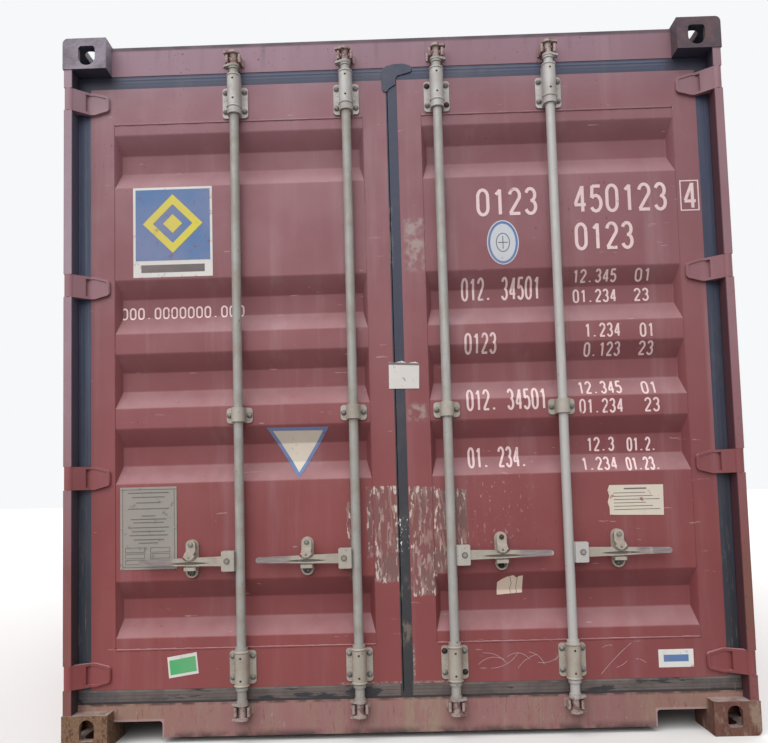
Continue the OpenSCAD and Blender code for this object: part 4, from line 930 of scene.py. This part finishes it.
# Plain figures, each as one or more lines in a unit box
FIGURES = {
    "0": [arc(0.5, 0.72, 0.42, 0.28, 0, 180) + arc(0.5, 0.28, 0.42, 0.28, 180, 360) + [(0.92, 0.72)]],
    "1": [[(0.60, 1.0), (0.60, 0.0)], [(0.62, 0.98), (0.26, 0.80)]],
    "2": [arc(0.5, 0.74, 0.42, 0.26, 170, -25) + [(0.10, 0.04)], [(0.04, 0.02), (0.94, 0.02)]],
    "3": [arc(0.48, 0.75, 0.38, 0.25, 160, -85), arc(0.48, 0.27, 0.42, 0.27, 88, -160)],
    "4": [[(0.72, 0.0), (0.72, 1.0)], [(0.70, 0.98), (0.10, 0.30)], [(0.04, 0.27), (0.98, 0.27)]],
    "5": [[(0.88, 0.98), (0.22, 0.98)], [(0.22, 1.0), (0.15, 0.53)], arc(0.48, 0.31, 0.44, 0.31, 138, -150)],
    ".": [[(0.4, 0.0), (0.4, 0.1)]],
}


def figures(text, x, z, width):
    """Outlines of plain figures that fill the box x by z."""
    pitch = (x[1] - x[0]) / (len(text) - 0.26)
    made = []
    for i, sign in enumerate(text):
        for line in FIGURES.get(sign, ()):
            places = [(x[0] + pitch * (i + 0.74 * px), z[0] + pz * (z[1] - z[0])) for px, pz in line]
            made += stroke(places, width)
    return made


PRINT_WHITE = flat_print("print_white", STENCIL, 0.12)
SIGN_WHITE = flat_print("sign_white", WHITE, 0.15)
SIGN_TORN = flat_print("sign_torn", TORN, 0.05)
SIGN_BADGE = flat_print("sign_badge", BADGE, 0.0)
SIGN_BLUE = flat_print("sign_blue", BLUE, 0.15)
SIGN_YELLOW = flat_print("sign_yellow", YELLOW, 0.1)
SIGN_CREAM = flat_print("sign_cream", CREAM, 0.1)
SIGN_GREEN = flat_print("sign_green", GREEN, 0.0)
SIGN_INK = flat_print("sign_ink", INK, 0.1)
PLATE_METAL = flat_print("plate_metal", PLATE, 0.2, 0.45, INK)
CHALK = flat_print("chalk", PAINT_DUST_AND_SHEEN, 0.3)


# Right door: stencilled figures and blank labels

def code_rows():
    """The code line, size line and four weight rows, all in plain figures."""
    made = figures("0123", (0.308, 0.530), (1.892, 1.987), 0.0120)
    made += figures("450123", (0.668, 1.010), (1.893, 1.990), 0.0120)
    made += figures("4", (1.074, 1.118), (1.894, 1.988), 0.0115)
    made += border((1.060, 1.130), (1.883, 1.999), 0.0045)
    made += figures("0123", (0.668, 0.880), (1.752, 1.846), 0.0120)
    # Words on the left, then the upper and lower weights with their units
    rows = [((0.243, 0.533, 1.580, 1.656, "012. 34501"),
             (0.656, 0.816, 1.634, 1.674, "12.345"), (0.887, 0.943, 1.633, 1.673, "01"),
             (0.658, 0.817, 1.561, 1.606, "01.234"), (0.885, 0.938, 1.561, 1.605, "23")),
            ((0.246, 0.360, 1.376, 1.446, "0123"),
             (0.687, 0.815, 1.423, 1.470, "1.234"), (0.889, 0.938, 1.419, 1.466, "01"),
             (0.685, 0.816, 1.356, 1.400, "0.123"), (0.886, 0.938, 1.356, 1.400, "23")),
            ((0.246, 0.535, 1.164, 1.238, "012. 34501"),
             (0.656, 0.814, 1.214, 1.259, "12.345"), (0.888, 0.942, 1.209, 1.253, "01"),
             (0.656, 0.812, 1.143, 1.191, "01.234"), (0.892, 0.945, 1.143, 1.190, "23")),
            ((0.246, 0.460, 0.955, 1.026, "01. 234."),
             (0.684, 0.783, 1.005, 1.052, "12.3"), (0.832, 0.938, 1.002, 1.048, "01.2."),
             (0.658, 0.784, 0.935, 0.979, "1.234"), (0.820, 0.940, 0.931, 0.975, "01.23."))]
    for words, *weights in rows:
        made += figures(words[4], words[:2], words[2:4], 0.0080)
        for x0, x1, z0, z1, text in weights:
            made += figures(text, (x0, x1), (z0, z1), 0.0066)
    laid("code_figures", made, PRINT_WHITE, "right_door")


def right_labels():
    middle = (0.399, 1.786)
    laid("oval_badge", [oval(*middle, 0.059, 0.084)], SIGN_BADGE, "right_door")
    laid("oval_badge_ring", ring_outlines(oval(*middle, 0.055, 0.080), oval(*middle, 0.047, 0.071)),
         SIGN_BLUE, "right_door", level=2)
    inner = ring_outlines(oval(*middle, 0.026, 0.036, 24), oval(*middle, 0.023, 0.033, 24))
    inner += stroke([(0.381, 1.786), (0.417, 1.786)], 0.003) + stroke([(0.399, 1.762), (0.399, 1.810)], 0.003)
    laid("oval_badge_lines", inner, SIGN_INK, "right_door", level=2)
    cream = [(0.747, 0.770), (0.941, 0.765), (0.943, 0.875), (0.749, 0.877), (0.742, 0.858), (0.748, 0.838),
             (0.741, 0.816), (0.747, 0.795)]
    laid("cream_label", [cream], SIGN_CREAM, "right_door")
    lines = []
    for i in range(6):
        lines += stroke([(0.763, 0.788 + i * 0.012), (0.928 - 0.025 * (i % 3), 0.788 + i * 0.012)], 0.0022)
    lines += stroke([(0.801, 0.863), (0.882, 0.863)], 0.005)
    laid("cream_label_lines", lines, SIGN_INK, "right_door", level=2)
    torn = [(0.333, 0.490), (0.425, 0.496), (0.426, 0.560), (0.411, 0.558), (0.404, 0.552), (0.392, 0.562),
            (0.369, 0.557), (0.352, 0.549), (0.334, 0.537)]
    laid("torn_label", [torn], SIGN_TORN, "right_door")
    cracks = stroke([(0.383, 0.493), (0.380, 0.512), (0.385, 0.531), (0.379, 0.559)], 0.0016)
    cracks += stroke([(0.405, 0.494), (0.402, 0.521), (0.406, 0.552)], 0.0016)
    laid("torn_label_cracks", cracks, SIGN_INK, "right_door", level=2)
    laid("white_label", [box_outline((0.895, 1.019), (0.225, 0.288))], SIGN_WHITE, "right_door")
    laid("white_label_bar", [box_outline((0.913, 1.001), (0.245, 0.269))], SIGN_BLUE, "right_door", level=2)


# Chalk strokes as (middle x, middle z, length, angle, bow), in metres and degrees
CHALK_STROKES = [(0.300, 0.258, 0.095, 10, 0.016), (0.312, 0.272, 0.090, -24, 0.012), (0.348, 0.262, 0.110, 28, -0.014),
                 (0.398, 0.270, 0.080, -8, 0.018), (0.430, 0.258, 0.085, 34, 0.008), (0.462, 0.268, 0.070, -40, 0.010),
                 (0.505, 0.264, 0.080, 16, -0.010), (0.545, 0.276, 0.050, 48, 0.004), (0.745, 0.260, 0.155, 44, 0.004),
                 (0.715, 0.303, 0.036, 12, 0.004), (0.764, 0.240, 0.045, 30, -0.003), (0.832, 0.250, 0.040, -22, 0.004)]


def chalk_marks():
    """Thin crossing scratches on the lower rail of the right door, without any meaning."""
    made = []
    for x, z, length, angle, bow in CHALK_STROKES:
        along = Vector((math.cos(math.radians(angle)), math.sin(math.radians(angle))))
        across = Vector((-along.y, along.x))
        line = []
        for i in range(9):
            t = i / 4 - 1
            line.append(Vector((x, z)) + along * length * t / 2 + across * bow * (1 - t * t))
        made += stroke(line, 0.0016)
    laid("chalk_marks", made, CHALK, "right_door")


# Left door: blank signs and the data plate

def left_signs():
    x, z = (-0.979, -0.682), (1.694, 2.037)
    strip = 1.757
    laid("square_sign", [box_outline(x, z)], SIGN_WHITE, "left_door")
    laid("square_sign_field", [box_outline((x[0] + 0.009, x[1] - 0.009), (strip, z[1] - 0.009))],
         SIGN_BLUE, "left_door", level=2)
    middle = ((x[0] + x[1]) / 2, (strip + z[1]) / 2)

    def diamond(r):
        return [(middle[0] + r * a, middle[1] + r * b) for a, b in ((1, 0), (0, 1), (-1, 0), (0, -1))]

    motif = ring_outlines(diamond(0.112), diamond(0.074)) + [diamond(0.036)]
    laid("square_sign_motif", motif, SIGN_YELLOW, "left_door", level=3)
    laid("square_sign_strip", [box_outline((x[0] + 0.03, x[1] - 0.03), (1.712, 1.741))], SIGN_INK,
         "left_door", level=2)
    laid("low_figures", figures("000.0000000.000", (-1.036, -0.574), (1.546, 1.586), 0.0062), PRINT_WHITE,
         "left_door")
    outer = [(-0.492, 1.121), (-0.376, 0.931), (-0.263, 1.119)]
    inner = [(-0.470, 1.109), (-0.376, 0.955), (-0.285, 1.107)]
    laid("triangle_label", [outer], SIGN_CREAM, "left_door")
    laid("triangle_label_border", ring_outlines(outer, inner), SIGN_BLUE, "left_door", level=2)
    white = [(-0.862, 0.301), (-0.756, 0.318), (-0.749, 0.243), (-0.856, 0.227)]
    green = [(-0.855, 0.289), (-0.761, 0.305), (-0.756, 0.252), (-0.850, 0.238)]
    laid("green_label_edge", [white], SIGN_WHITE, "left_door")
    laid("green_label", [green], SIGN_GREEN, "left_door", level=2)


def data_plate():
    x, z = (-1.031, -0.824), (0.616, 0.915)
    laid("data_plate", [box_outline(x, z)], PLATE_METAL, "left_door", thick=0.0015)
    made = border((x[0] + 0.008, x[1] - 0.008), (z[0] + 0.008, z[1] - 0.008), 0.002)
    centre = (x[0] + x[1]) / 2
    fields = [(0.894, 0.15), (0.878, 0.12), (0.858, 0.09), (0.836, 0.15), (0.810, 0.05), (0.798, 0.13), (0.786, 0.11),
              (0.768, 0.15), (0.754, 0.12), (0.740, 0.14), (0.724, 0.11), (0.712, 0.07)]
    for level, length in fields:
        made += stroke([(centre - length / 2, level), (centre + length / 2, level)], 0.0032)
    for left in (x[0] + 0.018, centre + 0.006):
        for low in (0.634, 0.656, 0.678):
            made += border((left, left + 0.072), (low, low + 0.018), 0.0018)
    laid("data_plate_fields", made, SIGN_INK, "left_door", level=5)
    bm = bmesh.new()
    for px in (x[0] + 0.006, x[1] - 0.006):
        for pz in (z[0] + 0.006, (z[0] + z[1]) / 2, z[1] - 0.006):
            lathe(bm, dome_profile(0.004, 0.002), (px, door_face(px, pz) - 0.0019, pz), (0, -1, 0), 12)
    piece("data_plate_rivets", bm, PLATE_METAL, "left_door", True)


def seal_card():
    """A paper card stuck over the joint of the doors, torn free of the left one."""
    outline = [(-0.038, 1.251), (0.072, 1.249), (0.075, 1.342), (0.060, 1.348), (0.030, 1.344), (0.012, 1.353),
               (-0.014, 1.347), (-0.037, 1.350)]
    laid("seal_card", [outline], SIGN_WHITE, "right_door", y=FRAME_FRONT - 0.001)
    edge = [(-0.037, 1.340), (0.074, 1.334), (0.075, 1.342), (-0.037, 1.349)]
    laid("seal_card_edge", [edge], SIGN_INK, "right_door", level=2, y=FRAME_FRONT - 0.001)


code_rows()
right_labels()
chalk_marks()
left_signs()
data_plate()
seal_card()


# Bolts, plugs and rings of the gear

RODS = [j["pos_m"] for j in frame["joints"] if j["name"].startswith("lock_rod")]
BRACKET = (0.0475, 0.0585)
BARREL_OVER = 0.033
BARREL_UP = 0.029
TOP_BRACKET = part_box("left_rod_brackets")[1].z - BARREL_OVER - BRACKET[1]
LOW_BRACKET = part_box("left_rod_brackets")[0].z + BRACKET[1]
CLAMP = 1.1675
PLATE_T = 0.006
CATCH_RIVET_Y = -2.9995
POCKET_BOLT_Z = 0.601
BARREL_R = 0.025
BOLT = dome_profile(0.0085, 0.0065, 0.002)
RUSTY = Material("rusty_bolts")
RUSTY_BOLTS = RUSTY.finish(RUSTY.mix(RUSTY.ramp(RUSTY.noise(60, 4), 0.35, 0.65), RUST, BLACK), 0.8)


def bracket_fittings():
    sound, rusty = {s: bmesh.new() for s in DOORS}, {s: bmesh.new() for s in DOORS}
    plugs, rings = {s: bmesh.new() for s in DOORS}, {s: bmesh.new() for s in DOORS}
    face = FRAME_FRONT - PLATE_T
    half = BRACKET[1]
    for number, (x, y, _) in enumerate(sorted(RODS)):
        side = "left" if x < 0 else "right"
        for middle, drilled in ((TOP_BRACKET, (-0.003, 0.073)), (LOW_BRACKET, (-0.039, 0.039))):
            for dx in (-0.036, 0.036):
                for dz in (-0.0345, 0.0405):
                    bad = number == 2 and (dx < 0) == (dz > 0)
                    lathe((rusty if bad else sound)[side], BOLT, (x + dx, face, middle + dz), (0, -1, 0))
                for dz in (-0.008, 0.014):
                    lathe(rings[side], dome_profile(0.0035, 0.001), (x + dx * 0.94, face, middle + dz), (0, -1, 0), 12)
            for dz in drilled:
                lathe(plugs[side], dome_profile(0.0042, 0.001), (x, y - BARREL_R + 0.0002, middle + dz), (0, -1, 0), 10)
        for dx in (-0.0365, 0.0365):
            lathe(sound[side], BOLT, (x + dx, face + 0.002, CLAMP), (0, -1, 0))
        for z in (TOP_BRACKET - half + BARREL_UP, TOP_BRACKET + half + BARREL_OVER, LOW_BRACKET - half,
                  LOW_BRACKET + half):
            r = BARREL_R
            profile = [(r - 0.003, -0.004), (r + 0.0015, -0.003), (r + 0.003, 0.0), (r + 0.0015, 0.003),
                       (r - 0.003, 0.004)]
            lathe(rings[side], profile, (x, y, z), (0, 0, 1), 32)
    for side in DOORS:
        body = side + "_door"
        piece(side + "_bracket_bolts", sound[side], BOLTS, body, True)
        if rusty[side].verts:
            piece(side + "_rusty_bolts", rusty[side], RUSTY_BOLTS, body, True)
        piece(side + "_bracket_plugs", plugs[side], RUSTY_BOLTS, body, True)
        piece(side + "_barrel_rims", rings[side], FITTINGS, body, True)


def catch_fittings():
    """Domed rivets on the catches and bolts in the pockets of their retainers."""
    for number in range(1, 5):
        catch = "handle_catch_%d" % number
        lo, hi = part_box(catch)
        middle = (lo.x + hi.x) / 2
        rivet = next(j["pos_m"][2] for j in frame["joints"] if j["name"] == "catch_%d_swing" % number)
        material = RUSTY_BOLTS if number == 3 else BOLTS
        bm = bmesh.new()
        lathe(bm, dome_profile(0.0092, 0.0038), (middle, CATCH_RIVET_Y, rivet), (0, -1, 0))
        piece(catch + "_rivet", bm, material, "catch_%d" % number, True)
        side = "left" if middle < 0 else "right"
        bm = bmesh.new()
        lathe(bm, BOLT, (middle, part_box(side + "_handle_retainers")[1].y - 0.005, POCKET_BOLT_Z), (0, -1, 0))
        piece("retainer_bolt_%d" % number, bm, material, side + "_door", True)


bracket_fittings()
catch_fittings()


# Weld beads and the lap of the gasket

def bead(bm, start, end, radius, wobble=0.25, step=0.012, seed=1):
    """A weld bead between two places on the door's face, with uneven ripples."""
    drawn = random.Random(seed)
    start, end = Vector(start), Vector(end)
    count = max(2, int((end - start).length / step))
    along = (end - start).normalized()
    across = along.cross(Vector((0, -1, 0))).normalized()
    rings = []
    for i in range(count + 1):
        centre = start.lerp(end, i / count)
        r = radius * (1 + drawn.uniform(-wobble, wobble))
        ring = []
        for k in range(6):
            a = math.pi * k / 5
            ring.append(bm.verts.new(centre + across * r * math.cos(a) + Vector((0, -1, 0)) * r * 0.6 * math.sin(a)))
        rings.append(ring)
    for low, high in zip(rings, rings[1:]):
        for k in range(6):
            bm.faces.new((low[k], low[(k + 1) % 6], high[(k + 1) % 6], high[k]))
    bm.faces.new(rings[0])
    bm.faces.new(rings[-1])


def door_welds():
    for side, sign in DOORS.items():
        lo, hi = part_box(side + "_leaf_panel")
        leaf_lo, leaf_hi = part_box(side + "_leaf_frame")
        y = FRAME_FRONT + 0.001
        bm = bmesh.new()
        for z, radius, seed in ((lo.z, 0.0042, 1), (hi.z, 0.0030, 2)):
            bead(bm, (lo.x, y, z), (hi.x, y, z), radius, seed=seed)
        for x, seed in ((lo.x, 3), (hi.x, 4)):
            bead(bm, (x, y, lo.z), (x, y, hi.z), 0.0022, seed=seed)
            for z0, z1 in ((leaf_lo.z, lo.z), (hi.z, leaf_hi.z)):
                bead(bm, (x, y, z0), (x, y, z1), 0.0016, seed=seed + 3)
        piece(side + "_door_welds", bm, DOOR_PAINT, side + "_door", True)


door_welds()


def gasket_lap():
    """Top end of the right door's middle gasket, moulded over the header and the left leaf's corner."""
    outline = [(-0.036, 2.440), (-0.035, 2.392), (-0.032, 2.381), (-0.024, 2.375), (-0.015, 2.377), (-0.008, 2.388),
               (0.017, 2.404), (0.019, 2.428), (0.026, 2.438), (0.074, 2.450), (0.080, 2.455), (0.080, 2.470),
               (0.070, 2.478), (0.046, 2.485), (0.010, 2.484), (-0.018, 2.477), (-0.034, 2.462)]
    y = min(FRAME_FRONT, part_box("door_header")[0].y)
    laid("gasket_lap", [outline], RUBBER, "right_door", thick=0.003, y=y)
    soft = bpy.data.objects["gasket_lap"].modifiers.new("soft_edges", "BEVEL")
    soft.width = 0.0015
    soft.segments = 2


gasket_lap()
